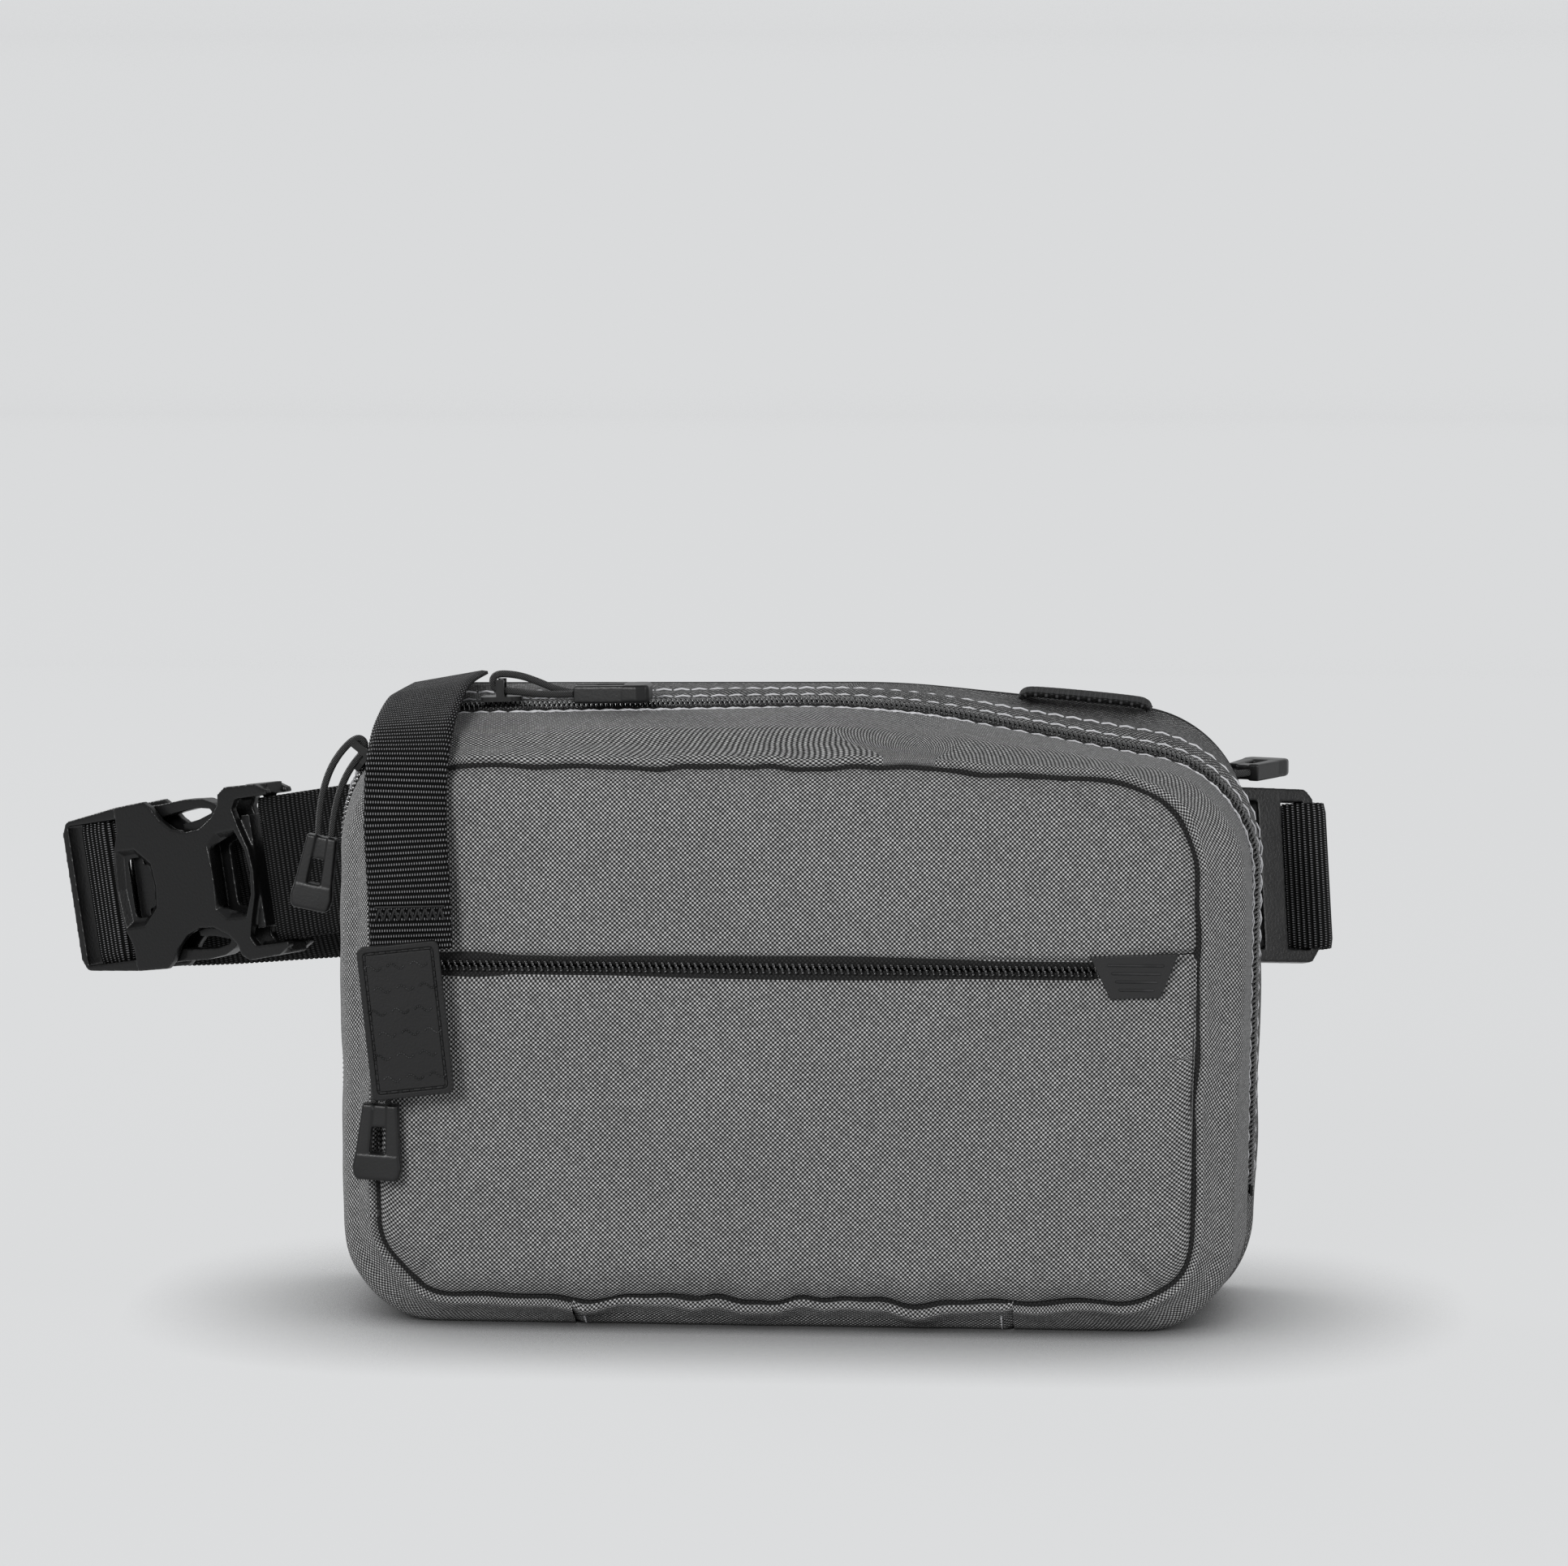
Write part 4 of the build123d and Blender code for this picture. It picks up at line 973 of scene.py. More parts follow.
def ribbon(name, centre, across, width, thick, mat="black_webbing", slot="black_webbing", step=0.27, rib=1.35,
           relief=0.16, body="bag", closed=False, rest=None, already=False, edge=0.25):
    """Webbing along a centre line. across: a unit vector per control point. Ribs lie across it."""
    data = np.column_stack([np.asarray(centre, float), np.asarray(across, float)])
    if already:
        run = np.concatenate([[0], np.cumsum(np.linalg.norm(np.diff(data[:, :3], axis=0), axis=1))])
        path, s = data, run
    else:
        path, s = smooth_path(data, step)
    c, w = path[:, :3], path[:, 3:]
    t = np.gradient(c, axis=0)
    if closed:
        t = np.roll(c, -1, axis=0) - np.roll(c, 1, axis=0)
    t /= np.linalg.norm(t, axis=1)[:, None]
    w = w - t * (w * t).sum(1)[:, None]
    w /= np.linalg.norm(w, axis=1)[:, None]
    nor = np.cross(t, w)
    k = 17
    sec = []        # (across, out, on the face) round the section
    for x in np.linspace(-1, 1, k):
        sec.append((x, 1))
    for x in np.linspace(1, -1, k):
        sec.append((x, -1))
    bump = np.abs(np.sin(math.pi * s / rib)) ** 0.6
    verts, uv = [], []
    for i in range(len(c)):
        for x, side in sec:
            near = (1 - abs(x)) * width / 2
            round_off = min(1.0, near / 0.7)
            half = thick / 2 * (0.45 + 0.55 * math.sqrt(max(0.0, 1 - (1 - round_off) ** 2)))
            h = half - relief * (1 - bump[i]) * 0.9
            off = x * (width / 2 + edge * (bump[i] - 0.5) * (1 if abs(x) > 0.99 else 0))
            verts.append(c[i] + w[i] * off + nor[i] * side * h)
            uv.append((s[i] * MM, x * width / 2 * MM))
    m = 2 * k
    faces = grid_faces(len(c), m, closed_n=closed, closed_m=True)
    if not closed:
        faces.append(tuple(range(m)))
        faces.append(tuple((len(c) - 1) * m + j for j in reversed(range(m))))
    obj = mesh(name, verts, faces, M[mat], slot, uvs=uv)
    if body:
        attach(obj, body)
    return obj


STRAP = [((-102.0, 34.0, 152.6), (-82.0, 34.0, 156.2), (0, 0, 1)),
         ((-101.8, 10.0, 152.8), (-81.8, 10.0, 156.4), (0, 0, 1)),
         ((-101.6, -6.0, 152.6), (-81.6, -6.0, 155.8), (0, -0.2, 1)),
         ((-101.8, -20.0, 150.0), (-81.8, -20.0, 152.4), (0, -0.5, 0.87)),
         ((-102.0, -31.0, 146.0), (-82.0, -31.0, 147.8), (0, -0.62, 0.78)),
         ((-102.2, -39.0, 139.0), (-82.2, -39.0, 140.0), (0, -0.85, 0.52)),
         ((-102.3, -42.0, 126.0), (-82.3, -42.0, 126.4), (0, -0.97, 0.24)),
         ((-101.4, -43.0, 110.0), (-81.4, -43.0, 110.2), (0, -1, 0.1)),
         ((-101.0, -43.4, 99.2), (-81.0, -43.4, 99.2), (0, -1, 0.0)),
         ((-100.8, -43.5, 95.4), (-80.8, -43.5, 95.6), (0, -1, 0.0))]
mids, across = [], []
for left, right, nrm in STRAP:
    left, right, nrm = np.array(left), np.array(right), np.array(nrm, float)
    nrm /= np.linalg.norm(nrm)
    mids.append((left + right) / 2 + nrm * 0.8)
    across.append((right - left) / np.linalg.norm(right - left))
strap = ribbon("front_strap_webbing", mids, across, 20.2, 1.6, body=None)
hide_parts("front_strap")
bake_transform(strap)

# zigzag bar tack
zig = []
zx = np.linspace(-99.4, -82.6, 19)
for i in range(18):
    za, zb = (105.6, 102.6) if i % 2 else (102.6, 105.6)
    zig.append(((zx[i], -45.05, za + 0.02 * i), (zx[i + 1], -45.05, zb + 0.02 * i), 0.34))
zig.append(((-99.8, -45.0, 105.9), (-82.4, -45.0, 106.4), 0.3))
o = capsules("strap_zigzag", zig, M["black_thread"], "black_thread")
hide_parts("strap_bartack")
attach(o, "bag")
o = ribbon("strap_fold_webbing", [(-91.3, -41.1, 107.6), (-91.3, -41.2, 104.0), (-91.3, -41.1, 100.6)],
           [(1, 0, 0)] * 3, 17.6, 3.0)
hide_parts("strap_fold")

# buckle and adjuster frames
P29, T10 = math.radians(29), math.radians(10)
BO = np.array([-168.3, 74.5, 97.7])
BX = np.array([math.cos(T10) * math.cos(P29), -math.cos(T10) * math.sin(P29), math.sin(T10)])
BZ = np.array([-math.sin(P29), -math.cos(P29), 0.0])
BY = np.cross(BZ, BX)
AO = np.array([118.0, 56.0, 103.9])
AX = np.array([0.785, 0.614, -0.085])
AX /= np.linalg.norm(AX)
AZ = np.array([0.635, -0.782, 0.214])
AZ -= AX * (AX @ AZ)
AZ /= np.linalg.norm(AZ)
AY = np.cross(AZ, AX)


def buckle(x, y=0.0, z=0.0):
    return BO + BX * x + BY * y + BZ * z


def adj(x, y=0.0, z=0.0):
    return AO + AX * x + AY * y + AZ * z


def closed_loop(cx, w, h, r, place, step=0.27, rib=1.35):
    """Rounded-rectangle path round a bar, in the local x-z plane, with a whole number of ribs."""
    pts = []
    for qx, qz, a0 in ((1, 1, 0), (-1, 1, 90), (-1, -1, 180), (1, -1, 270)):
        for k in range(13):
            a = math.radians(a0 + 90 * k / 12)
            pts.append((cx + qx * (w / 2 - r) + r * math.cos(a), qz * (h / 2 - r) + r * math.sin(a)))
    pts.append(pts[0])
    pts = np.array(pts)
    run = np.concatenate([[0], np.cumsum(np.linalg.norm(np.diff(pts, axis=0), axis=1))])
    ribs = round(run[-1] / rib)
    s = np.linspace(0, run[-1], ribs * 5, endpoint=False)
    q = np.column_stack([np.interp(s, run, pts[:, k]) for k in range(2)])
    return np.array([place(x, 0, z) for x, z in q]), run[-1] / ribs


def loop_webbing(name, cx, w, h, r, place, up, body, node, width=37.6):
    c, rib = closed_loop(cx, w - 1.6, h - 1.6, r - 0.8, place)
    o = ribbon(name, c, [up] * len(c), width, 1.6, body=body, closed=True, already=True, rib=rib)
    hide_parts(node)
    return o


loop_webbing("male_loop_webbing", -26.4, 11.8, 8.0, 3.2, buckle, BY, "buckle_male", "male_webbing_loop")
run = [(-5.0, -3.4), (1.0, -3.6), (8.0, -4.0), (13.5, -4.0), (16.6, -2.8), (17.5, 0.0), (16.6, 2.9), (13.8, 3.5), (11.4, 2.6),
       (8.6, 0.4), (6.4, -1.3), (2.5, -2.75), (-5.0, -2.8)]
run = [(x, z) for x, z in run]
o = ribbon("adjuster_loop_webbing", [adj(x, 0, z) for x, z in run[:-2]], [AY] * (len(run) - 2), 37.6, 1.5, body="adjuster")
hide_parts("adjuster_webbing_loop")
loop_webbing("anchor_loop_webbing", -12.6, 9.4, 8.6, 3.4, adj, AY, "bag", "right_anchor_webbing")

# webbing sewn round the female half's bar, running to the bag
drop = [(70, 0.85), (56, 0.9), (44, 1.1), (38, 2.1), (33.5, 2.75), (30.2, 2.0), (29.4, 0), (30.2, -2.0), (33.5, -2.75),
        (38, -2.1), (44, -1.1), (56, -0.9), (70, -0.85)]
o = ribbon("left_belt_webbing", [buckle(x, 0, z) for x, z in drop], [BY] * len(drop), 37.6, 1.6, mat="belt_webbing")
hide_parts("left_webbing")
o = ribbon("left_foot_webbing", [(-100.5, YB + 0.9, 109), (-90, YB + 0.9, 109), (-78, YB + 0.9, 109)], [(0, 0, 1)] * 3, 34.0, 1.6)
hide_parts("left_anchor_patch")
o = ribbon("right_foot_webbing", [(82.0, YB + 0.9, 104.8), (92, YB + 0.9, 104.8), (102.5, YB + 0.9, 104.8)], [(0, 0, 1)] * 3, 37.6, 1.6)
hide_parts("right_anchor_patch")


def box_stitch(name, x0, x1, z0, z1, y):
    items = []
    for (ax, az), (bx, bz) in (((x0, z0), (x1, z0)), ((x1, z0), (x1, z1)), ((x1, z1), (x0, z1)), ((x0, z1), (x0, z0)),
                               ((x0, z0), (x1, z1)), ((x0, z1), (x1, z0))):
        total = math.hypot(bx - ax, bz - az)
        n = max(int(total / 2.6), 1)
        for i in range(n):
            t0, t1 = i / n + 0.02, (i + 0.86) / n
            items.append(((ax + (bx - ax) * t0, y, az + (bz - az) * t0), (ax + (bx - ax) * t1, y, az + (bz - az) * t1), 0.26))
    o = capsules(name, items, M["black_thread"], "black_thread")
    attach(o, "bag")


box_stitch("left_box_stitch", -98.0, -80.5, 94.5, 123.5, YB + 1.75)
box_stitch("right_box_stitch", 84.5, 100.0, 88.5, 121.0, YB + 1.75)

BELT = [((-186.5, 93.2, 91.2), 0.0), ((-168.0, 86.0, 92.0), -8.0), ((-140.0, 77.5, 93.4), -22.0),
        ((-110.0, 71.0, 97.0), -16.0), ((-75.0, 66.0, 101.0), -6.0), ((-38.0, 63.4, 103.0), 0.0),
        ((0.0, 62.6, 104.0), 2.0), ((38.0, 62.8, 104.4), 6.0), ((75.0, 64.4, 104.2), 10.0),
        ((104.0, 66.6, 103.6), 12.0)]
bc, ba = [], []
for i, (p, lean) in enumerate(BELT):
    a = np.array(BELT[max(i - 1, 0)][0])
    b = np.array(BELT[min(i + 1, len(BELT) - 1)][0])
    along = (b - a) / np.linalg.norm(b - a)
    up = np.array([0, 0, 1.0])
    up -= along * (up @ along)
    up /= np.linalg.norm(up)
    side = np.cross(along, up)
    c, s_ = math.cos(math.radians(lean)), math.sin(math.radians(lean))
    bc.append(p)
    ba.append(up * c - side * s_)
left = ribbon("long_belt_left", bc[:6], ba[:6], 37.6, 1.6, body=None, mat="belt_webbing")
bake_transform(left)
right = ribbon("long_belt_right", bc[5:], ba[5:], 37.6, 1.6, body=None, mat="belt_webbing")
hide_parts("long_belt")
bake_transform(right)

HAUL = [((54.6, 33.4, 152.2), (54.6, 20.0, 151.8)), ((55.6, 33.5, 153.4), (55.6, 20.0, 153.0)),
        ((58.6, 33.5, 153.7), (58.6, 20.0, 153.3)), ((70.0, 33.5, 152.9), (70.0, 20.0, 152.4)),
        ((83.0, 33.5, 151.6), (83.0, 20.0, 151.1)), ((86.2, 33.5, 150.8), (86.2, 20.0, 150.3)),
        ((87.2, 33.4, 149.4), (87.2, 20.0, 149.0))]
o = ribbon("haul_loop_webbing", [(np.array(a) + np.array(b)) / 2 for a, b in HAUL],
           [(np.array(a) - np.array(b)) / np.linalg.norm(np.array(a) - np.array(b)) for a, b in HAUL], 13.6, 1.4, mat="belt_webbing", relief=0.04, edge=0.0)
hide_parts("haul_loop")

# ---------------------------------------------------------------- moulded pieces


def prism_mesh(loops, place, z0, z1, bevel=0.0, segments=3):
    """Closed prism with holes from local loops, its edges rounded, as (verts in mm, faces)."""
    curve = bpy.data.curves.new("tmp", "CURVE")
    curve.dimensions = "2D"
    curve.fill_mode = "BOTH"
    for loop in loops:
        sp = curve.splines.new("POLY")
        sp.points.add(len(loop) - 1)
        for q, (x, y) in zip(sp.points, loop):
            q.co = (x, y, 0, 1)
        sp.use_cyclic_u = True
    curve.extrude = (z1 - z0) / 2 - bevel
    curve.bevel_depth = bevel
    curve.bevel_resolution = segments
    curve.offset = -bevel
    ob = bpy.data.objects.new("tmp", curve)
    bpy.context.collection.objects.link(ob)
    bpy.context.view_layer.update()
    me = bpy.data.meshes.new_from_object(ob.evaluated_get(bpy.context.evaluated_depsgraph_get()))
    verts = np.array([v.co for v in me.vertices])
    faces = [tuple(p.vertices) for p in me.polygons]
    bpy.data.objects.remove(ob)
    bpy.data.curves.remove(curve)
    bpy.data.meshes.remove(me)
    verts = np.array([place(x, y, z + (z0 + z1) / 2) for x, y, z in verts])
    return verts, faces


def node_mesh(node):
    me = frame["nodes"][node].data
    return np.array([v.co for v in me.vertices]) / MM, [tuple(p.vertices) for p in me.polygons]


def joined(parts):
    verts, faces, base = [], [], 0
    for v_, f_ in parts:
        verts.append(v_)
        faces += [tuple(i + base for i in f) for f in f_]
        base += len(v_)
    return np.vstack(verts), faces


def dent(obj, origin, ax, ay, az, loops, low, top, depth, soft):
    """Press flat-bottomed recesses into a moulding's two faces, squeezing what lies between low and top."""
    me = obj.data
    co = np.array([v_.co for v_ in me.vertices]) / MM - origin
    x, y, z = co @ ax, co @ ay, co @ az
    for loop in loops:
        ring = np.array(loop, float)
        inside = np.zeros(len(x), bool)
        for (x0, y0), (x1, y1) in zip(ring, np.roll(ring, -1, axis=0)):
            cross = (y0 > y) != (y1 > y)
            with np.errstate(divide="ignore", invalid="ignore"):
                inside ^= cross & (x < (x1 - x0) * (y - y0) / (y1 - y0 + 1e-12) + x0)
        near = inside & (np.abs(z) > low)
        idx = np.where(near)[0]
        if len(idx):
            d = edge_distance(x[idx], y[idx], ring)
            press = depth * np.clip(d / soft, 0, 1) * np.clip((np.abs(z[idx]) - low) / (top - low), 0, 1)
            z[idx] -= np.sign(z[idx]) * press
    out = (origin + x[:, None] * ax + y[:, None] * ay + z[:, None] * az) * MM
    me.vertices.foreach_set("co", out.astype(np.float32).ravel())
    me.update()


def moulded(name, parts, cuts, mat, slot, node, body, voxel=0.32, smooth=5, keep=0.35, weld=True):
    """One moulded body: overlapping solids are fused, recesses cut, and every edge softened."""
    v_, f_ = joined(parts)
    obj = mesh(name, v_, f_, M[mat], slot)
    if weld:
        bm = bmesh.new()
        bm.from_mesh(obj.data)
        bmesh.ops.remove_doubles(bm, verts=bm.verts, dist=1e-6)
        bm.to_mesh(obj.data)
        bm.free()
    tools = []
    if cuts:
        first = obj.modifiers.new("fuse", "REMESH")
        first.mode = "VOXEL"
        first.voxel_size = voxel * MM
        for i, (cv, cf_) in enumerate(cuts):
            tool = mesh("cut%d" % i, cv, cf_, M[mat], slot)
            bm = bmesh.new()
            bm.from_mesh(tool.data)
            bmesh.ops.remove_doubles(bm, verts=bm.verts, dist=1e-6)
            bmesh.ops.recalc_face_normals(bm, faces=bm.faces)
            bm.to_mesh(tool.data)
            bm.free()
            mod = obj.modifiers.new("cut%d" % i, "BOOLEAN")
            mod.object = tool
            mod.operation = "DIFFERENCE"
            mod.solver = "FAST"
            tools.append(tool)
    again = obj.modifiers.new("skin", "REMESH")
    again.mode = "VOXEL"
    again.voxel_size = voxel * MM
    soft = obj.modifiers.new("soft", "SMOOTH")
    soft.factor = 0.5
    soft.iterations = smooth
    less = obj.modifiers.new("less", "DECIMATE")
    less.ratio = keep
    bpy.context.view_layer.update()
    done = bpy.data.meshes.new_from_object(obj.evaluated_get(bpy.context.evaluated_depsgraph_get()))
    obj.modifiers.clear()
    obj.data = done
    done.materials.clear()
    done.materials.append(M[mat])
    done.polygons.foreach_set("use_smooth", [True] * len(done.polygons))
    for tool in tools:
        bpy.data.objects.remove(tool)
    if node:
        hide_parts(node)
    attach(obj, body)
    return obj


# recesses of the buckle's front plate
recess_l = [(-19.0, 10.6), (-12.4, 10.6), (-7.2, 6.0), (-6.4, 0.0), (-7.2, -6.0), (-12.4, -10.6), (-19.0, -10.6), (-19.9, 0.0)]
recess_r = [(12.6, 8.6), (16.0, 11.6), (22.6, 11.9), (25.4, 6.0), (26.2, 0.0), (25.4, -6.0), (22.6, -11.9), (16.0, -11.6), (12.6, -8.6),
            (13.6, 0.0)]
female = moulded("buckle_female_moulding", [node_mesh("buckle_female")], [], "black_plastic", "black_plastic",
                 "buckle_female", "bag", voxel=0.3, smooth=7, keep=1.0)
dent(female, BO, BX, BY, BZ, [recess_l, recess_r], 3.1, 5.5, 1.75, 1.8)
male = moulded("buckle_male_moulding", [node_mesh("buckle_male")], [], "black_plastic", "black_plastic", "buckle_male",
               "buckle_male", keep=0.6)
# the tongue lies deep behind the plate's left window
dent(male, BO, BX, BY, BZ, [[(-17.6, 9.4), (-7.4, 9.4), (-7.4, -9.4), (-17.6, -9.4)]], 0.2, 4.6, 2.4, 0.8)
moulded("prong_upper_moulding", [node_mesh("buckle_prong_upper")], [], "black_plastic", "black_plastic",
        "buckle_prong_upper", "prong_upper", voxel=0.25)
moulded("prong_lower_moulding", [node_mesh("buckle_prong_lower")], [], "black_plastic", "black_plastic",
        "buckle_prong_lower", "prong_lower", voxel=0.25)
moulded("adjuster_moulding", [node_mesh("adjuster_frame")], [], "black_plastic", "black_plastic",
        "adjuster_frame", "adjuster")


def tab_frame(top, down, face):
    f = np.array(face, float)
    f /= np.linalg.norm(f)
    d = np.array(down, float)
    d /= np.linalg.norm(d)
    x = np.cross(f, d)
    top = np.array(top, float)
    return lambda px, py, pz: top + x * px - d * py + f * pz


def pull(name, node, body, top, down, face, slim=1.0, shift=0.0, back=-2.2):
    """Pull tab: tapered rails round a window, a ridge at the cord end and a thick rounded end block."""
    flat = tab_frame(top, down, face)

    def place(px, py, pz):
        return flat(px * slim + shift, py, max(pz, back))

    rails = prism_mesh([[(-4.2, -0.2), (4.2, -0.2), (5.4, -12.6), (-5.4, -12.6)], [(-1.8, -5.8), (-1.8, -12.8), (1.8, -12.8), (1.8, -5.8)]],
                       place, -1.9, 1.9, 0.5)
    shoulder_l = prism_mesh([[(-4.3, -0.1), (-1.5, -0.1), (-1.9, -12.8), (-5.5, -12.8)]], place, -2.2, 2.2, 0.5)
    shoulder_r = prism_mesh([[(4.3, -0.1), (5.5, -12.8), (1.9, -12.8), (1.5, -0.1)]], place, -2.2, 2.2, 0.5)
    end = prism_mesh([[(-5.5, -12.2), (5.5, -12.2), (6.1, -15.8), (5.6, -18.2), (4.6, -19.0), (-4.6, -19.0), (-5.6, -18.2), (-6.1, -15.8)]],
                     place, -2.2, 2.3, 0.8)
    bridge = prism_mesh([[(-2.2, -0.6), (2.2, -0.6), (2.2, -5.9), (-2.2, -5.9)]], place, -1.5, 1.5, 0.3)
    return moulded(name, [rails, shoulder_l, shoulder_r, end, bridge], [], "pull_rubber", "pull_rubber", node, body,
                   voxel=0.22, smooth=4, keep=0.3)


pull("top_pull_moulding", "top_pull_tab", "top_pull", (-55.0, -5.0, 155.0), (1, 0, 0.022), (-0.022, 0, 1))
ld = (math.cos(math.radians(259.0)), 0, math.sin(math.radians(259.0)))
pull("left_pull_moulding", "left_pull_tab", "left_pull", (-119.0, 0.0, 118.3), ld, (0, -1, 0), slim=0.88, shift=-0.5)
FB = (-97.0, -42.0, FZM)
FDIR = 266.5


def around(bar, deg, r):
    return np.array([bar[0] + r * math.cos(math.radians(deg)), bar[1], bar[2] + r * math.sin(math.radians(deg))])


fd = (math.cos(math.radians(FDIR)), 0, math.sin(math.radians(FDIR)))
pull("front_pull_moulding", "front_pull_tab", "front_pull", around(FB, FDIR, 34.0), fd, (0, -1, 0), back=-1.6)
RB = np.array([99.5, YB + 7.0, 131.0])
rq = math.radians(68)
pull("rear_pull_moulding", "rear_pull_tab", "rear_pull", RB + [11.3, 6.75, 0], (math.cos(rq), math.sin(rq), 0), (0, 0, 1))

# ---------------------------------------------------------------- pull cords


def cord(name, node, body, points):
    curve = bpy.data.curves.new(name, "CURVE")
    curve.dimensions = "3D"
    sp = curve.splines.new("NURBS")
    sp.points.add(len(points) - 1)
    for q, p in zip(sp.points, points):
        q.co = (p[0] * MM, p[1] * MM, p[2] * MM, 1.0)
    sp.order_u = 3
    sp.use_endpoint_u = True
    sp.resolution_u = 12
    curve.bevel_depth = 0.9 * MM
    curve.bevel_resolution = 4
    curve.use_fill_caps = True
    curve.materials.append(M["pull_cord"])
    obj = bpy.data.objects.new(name, curve)
    bpy.context.collection.objects.link(obj)
    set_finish(obj, "pull_cord")
    # the spline alone, without its bevel, made into a line mesh that nothing reads
    me = bpy.data.objects.new("tmp", curve.copy())
    me.data.bevel_depth = 0
    bpy.context.collection.objects.link(me)
    bpy.context.view_layer.update()
    line = bpy.data.meshes.new_from_object(me.evaluated_get(bpy.context.evaluated_depsgraph_get()))
    bpy.data.objects.remove(me)
    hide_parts(node)
    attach(obj, body)
    return obj


def fpt(along, side):
    base = around(FB, FDIR, along)
    off = around((0, 0, 0), FDIR - 90, abs(side))
    return base + off if side > 0 else base - off


cord("top_cord", "top_pull_cord", "top_pull",
     [(-55.15, -3.3, 155.0), (-59.5, -2.6, 155.6), (-64.6, -1.0, 157.6), (-70.0, -0.2, 159.3),
      (-76.3, 0.0, 159.5), (-76.2, 0.1, 155.2), (-70.4, -0.8, 155.1), (-64.8, -3.6, 154.7),
      (-59.6, -5.9, 154.8), (-55.15, -6.7, 155.0)])
cord("left_cord", "left_pull_cord", "left_pull",
     [(-117.35, 0, 118.1), (-116.6, 0, 125.5), (-113.3, 0, 134.6), (-107.68, 0, 141.19),
      (-110.83, 0, 143.97), (-117.4, 0, 136.4), (-120.4, 0, 126.0), (-120.65, 0, 118.75)])
cord("front_cord", "front_pull_cord", "front_pull",
     [fpt(33.85, 1.7), fpt(24.0, 2.3), fpt(12.0, 2.1), fpt(1.0, 2.3), fpt(-2.3, 2.2),
      fpt(-2.3, -2.2), fpt(1.0, -2.3), fpt(12.0, -2.1), fpt(24.0, -2.3), fpt(33.85, -1.7)])
cord("rear_cord", "rear_pull_cord", "rear_pull",
     [RB + [9.6, 7.15, 0], RB + [7.2, 4.9, 0], RB + [3.6, 3.2, 0], RB + [-1.6, 2.4, 0], RB + [-2.6, -1.8, 0],
      RB + [3.6, -1.4, 0], RB + [8.6, 1.0, 0], RB + [12.8, 5.85, 0]])

# ---------------------------------------------------------------- rubber patch and tag
PX = np.array([0.987, 0.10, 0.10])
PX /= np.linalg.norm(PX)
PZ = np.array([0.10, -0.995, 0.02])
PZ -= PX * (PX @ PZ)
PZ /= np.linalg.norm(PZ)
PY = np.cross(PZ, PX)
PO = np.array([-92.0, -47.4, 78.6])


def patch(x, y, z=0.0):
    return PO + PX * x + PY * y + PZ * z


def rounded_loop(w, h, r, k=5):
    out = []
    for qx, qy, a0 in ((1, 1, 0), (-1, 1, 90), (-1, -1, 180), (1, -1, 270)):
        for i in range(k + 1):
            a = math.radians(a0 + 90 * i / k)
            out.append((qx * (w / 2 - r) + r * math.cos(a), qy * (h / 2 - r) + r * math.sin(a)))
    return out


def simple(name, parts, mat, slot, body, nodes=()):
    v_, f_ = joined(parts)
    obj = mesh(name, v_, f_, M[mat], slot)
    bm = bmesh.new()
    bm.from_mesh(obj.data)
    bmesh.ops.remove_doubles(bm, verts=bm.verts, dist=1e-6)
    bm.to_mesh(obj.data)
    bm.free()
    obj.data.polygons.foreach_set("use_smooth", [False] * len(obj.data.polygons))
    if nodes:
        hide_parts(*nodes)
    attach(obj, body)
    return obj


# backing, raised rim and inner field, with a groove between rim and field
simple("patch_body", [prism_mesh([rounded_loop(20.0, 37.6, 1.6)], patch, -1.5, 0.9, 0.35),
                      prism_mesh([rounded_loop(20.0, 37.6, 1.6), rounded_loop(17.2, 34.8, 0.9)], patch, 0.4, 1.5, 0.3),
                      prism_mesh([rounded_loop(16.0, 33.6, 0.6)], patch, 0.4, 1.4, 0.25)],
       "patch_rubber", "patch_rubber", "strap_patch", ["strap_patch"])
# dashes of thread in the groove
items = []
for (ax, ay), (bx, by) in (((-8.3, -17.1), (8.3, -17.1)), ((8.3, -17.1), (8.3, 17.1)), ((8.3, 17.1), (-8.3, 17.1)), ((-8.3, 17.1), (-8.3, -17.1))):
    total = math.hypot(bx - ax, by - ay)
    n = int(total / 2.4)
    for i in range(n):
        t0, t1 = i / n + 0.04 / n, (i + 0.72) / n
        items.append((patch(ax + (bx - ax) * t0, ay + (by - ay) * t0, 1.05), patch(ax + (bx - ax) * t1, ay + (by - ay) * t1, 1.05), 0.32))
o = capsules("patch_stitches", items, M["black_thread"], "black_thread")
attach(o, "strap_patch")
# rows of short wavy ridges, a plain grip pattern
items = []
for r_ in range(6):
    for c_ in range(3):
        cx = -5.6 + 5.6 * c_ + (0.9 if r_ % 2 else -0.9)
        cy = 13.6 - 5.5 * r_
        last = None
        for k in range(9):
            t = k / 8
            q = patch(cx - 2.1 + 4.2 * t, cy + 0.75 * math.sin(t * 2 * math.pi), 1.46)
            if last is not None:
                items.append((last, q, 0.24))
            last = q
o = capsules("patch_ridges", items, M["patch_rubber"], "patch_rubber")
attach(o, "strap_patch")


def tag(x, y, z=0.0):
    return np.array([x, -39.9 - z, y])


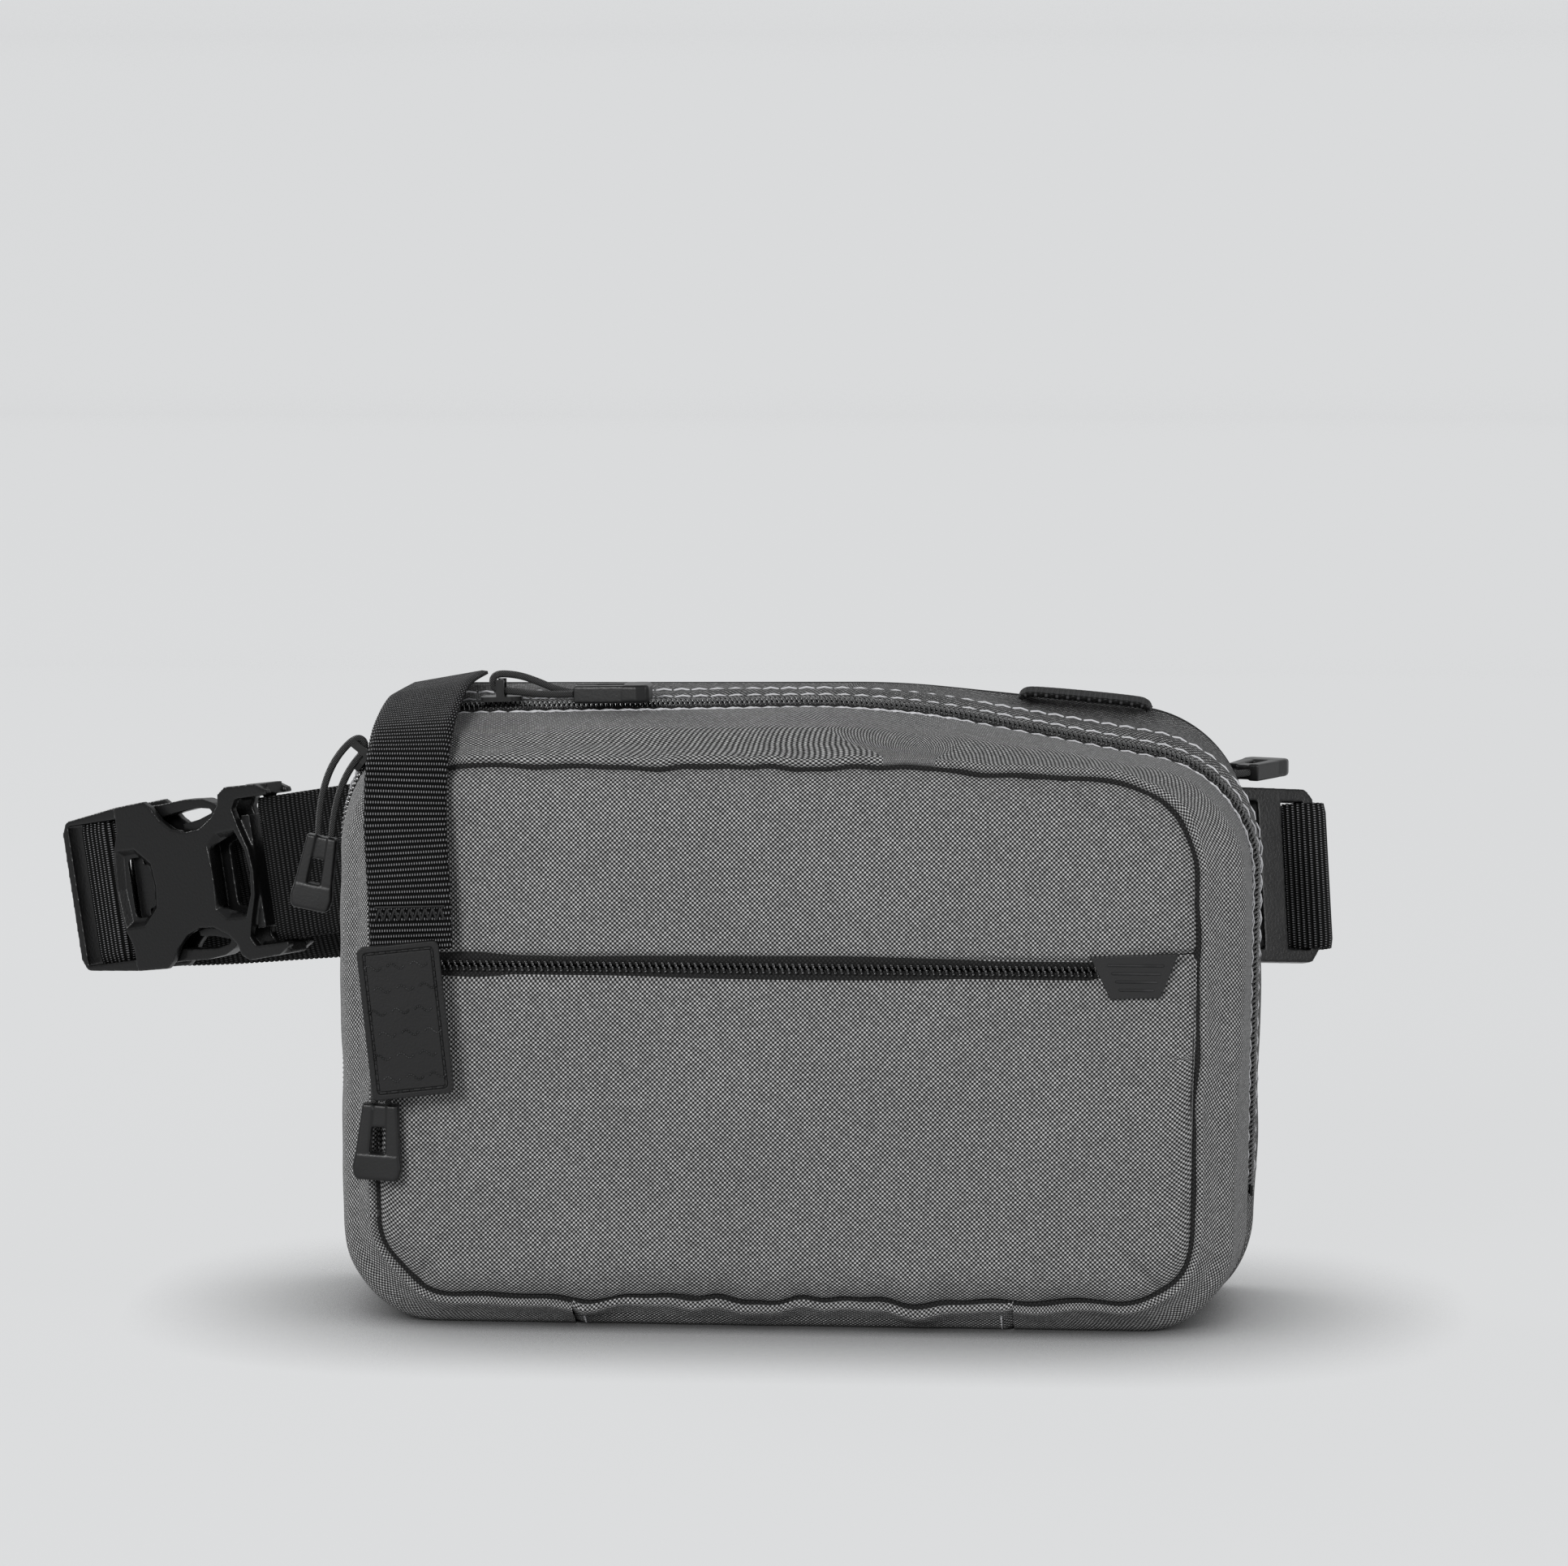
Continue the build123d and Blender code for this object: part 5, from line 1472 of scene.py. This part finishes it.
trap = [(74.4, 95.0), (95.8, 96.0), (91.6, 85.2), (79.4, 84.6)]
simple("tag_body", [prism_mesh([trap], lambda x, y, z=0.0: np.array([x, -39.9 - z, y]), 0.0, 1.3, 0.3)],
       "tag_rubber", "patch_rubber", "bag", ["zip_tag"])
items = []
for k, (x0, x1, z) in enumerate(((78.6, 92.4, 93.0), (79.6, 91.6, 91.0), (80.6, 90.8, 89.0), (81.4, 90.0, 87.0))):
    items.append(((x0, -41.2, z), (x1, -41.2, z), 0.32))
o = capsules("tag_ridges", items, M["tag_rubber"], "patch_rubber")
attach(o, "bag")

# ---------------------------------------------------------------- stage, light and camera
floor_mat = bpy.data.materials.new("floor_pale_painted_shadow")
floor_mat.use_nodes = True
ft = floor_mat.node_tree
bs = ft.nodes["Principled BSDF"]
bs.inputs["Base Color"].default_value = (0.05, 0.05, 0.05, 1)
bs.inputs["Roughness"].default_value = 1.0
bs.inputs["Specular IOR Level"].default_value = 0.0
# painted shadow: the floor's glow is darkened by ambient occlusion near the bag
painted_contact_shadow = ft.nodes.new("ShaderNodeAmbientOcclusion")
painted_contact_shadow.inputs["Distance"].default_value = 0.06
painted_contact_shadow.samples = 3
curve_ = ft.nodes.new("ShaderNodeMath")
curve_.operation = "POWER"
curve_.inputs[1].default_value = 1.9
ft.links.new(painted_contact_shadow.outputs["AO"], curve_.inputs[0])
scale_ = ft.nodes.new("ShaderNodeMath")
scale_.operation = "MULTIPLY"
scale_.inputs[1].default_value = 0.68
ft.links.new(curve_.outputs[0], scale_.inputs[0])
bs.inputs["Emission Color"].default_value = (0.98, 0.99, 1.0, 1)
ft.links.new(scale_.outputs[0], bs.inputs["Emission Strength"])
fl_verts, fl_faces = [], []
for i, (y, z) in enumerate([(-9000, 0), (-600, 0), (600, 0), (1100, 0), (1500, 40), (1800, 160), (2000, 380), (2100, 700), (2120, 1600), (2120, 4000)]):
    fl_verts += [(-9000, y, z - 0.05), (9000, y, z - 0.05)]
fl_faces = [(2 * i, 2 * i + 1, 2 * i + 3, 2 * i + 2) for i in range(9)]
floor = mesh("studio_floor", fl_verts, fl_faces, floor_mat, "grey_fabric")
del floor["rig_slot"]

world = bpy.data.worlds.new("studio")
bpy.context.scene.world = world
world.use_nodes = True
world.node_tree.nodes["Background"].inputs[0].default_value = (0.97, 0.985, 1.0, 1)
world.node_tree.nodes["Background"].inputs[1].default_value = 0.36
# the sky beyond the stage looks like the stage; the light it gives stays soft and low
wt = world.node_tree
rays = wt.nodes.new("ShaderNodeLightPath")
glow = wt.nodes.new("ShaderNodeMath")
glow.operation = "MULTIPLY_ADD"
glow.inputs[1].default_value = 0.37
glow.inputs[2].default_value = 0.36
wt.links.new(rays.outputs["Is Camera Ray"], glow.inputs[0])
wt.links.new(glow.outputs[0], wt.nodes["Background"].inputs[1])


def area(name, loc, target, size, power):
    light = bpy.data.lights.new(name, "AREA")
    light.shape = "DISK"
    light.size = size
    light.energy = power
    obj = bpy.data.objects.new(name, light)
    bpy.context.collection.objects.link(obj)
    obj.location = loc
    obj.rotation_euler = (Vector(target) - Vector(loc)).to_track_quat("-Z", "Y").to_euler()
    return obj


area("key", (-0.55, -1.7, 0.8), (0, 0, 0.08), 0.6, 25)
area("rim", (-1.2, 0.9, 0.7), (-0.05, 0, 0.1), 0.5, 9)
area("right", (1.4, -0.7, 0.6), (0.05, 0, 0.09), 0.6, 8)

cam_data = bpy.data.cameras.new("camera")
cam = bpy.data.objects.new("camera", cam_data)
bpy.context.collection.objects.link(cam)
az, el, dist = math.radians(4.5), math.radians(8.0), 1.4
target = Vector((0, -0.005, 0.078))
back_dir = Vector((math.sin(az) * math.cos(el), -math.cos(az) * math.cos(el), math.sin(el)))
cam.location = target + back_dir * dist
cam.rotation_euler = (-back_dir).to_track_quat("-Z", "Y").to_euler()
cam_data.sensor_width = 36.0
cam_data.lens = 6902.0 / 1932.0 * 36.0
cam_data.shift_x = -14.0 / 1932.0
cam_data.shift_y = 270.5 / 1932.0
cam_data.clip_start = 0.01
cam_data.clip_end = 50
cam_data.dof.use_dof = False
bpy.context.scene.camera = cam
bpy.context.scene.view_settings.view_transform = "Standard"
bpy.context.scene.view_settings.look = "None"

bpy.context.view_layer.update()
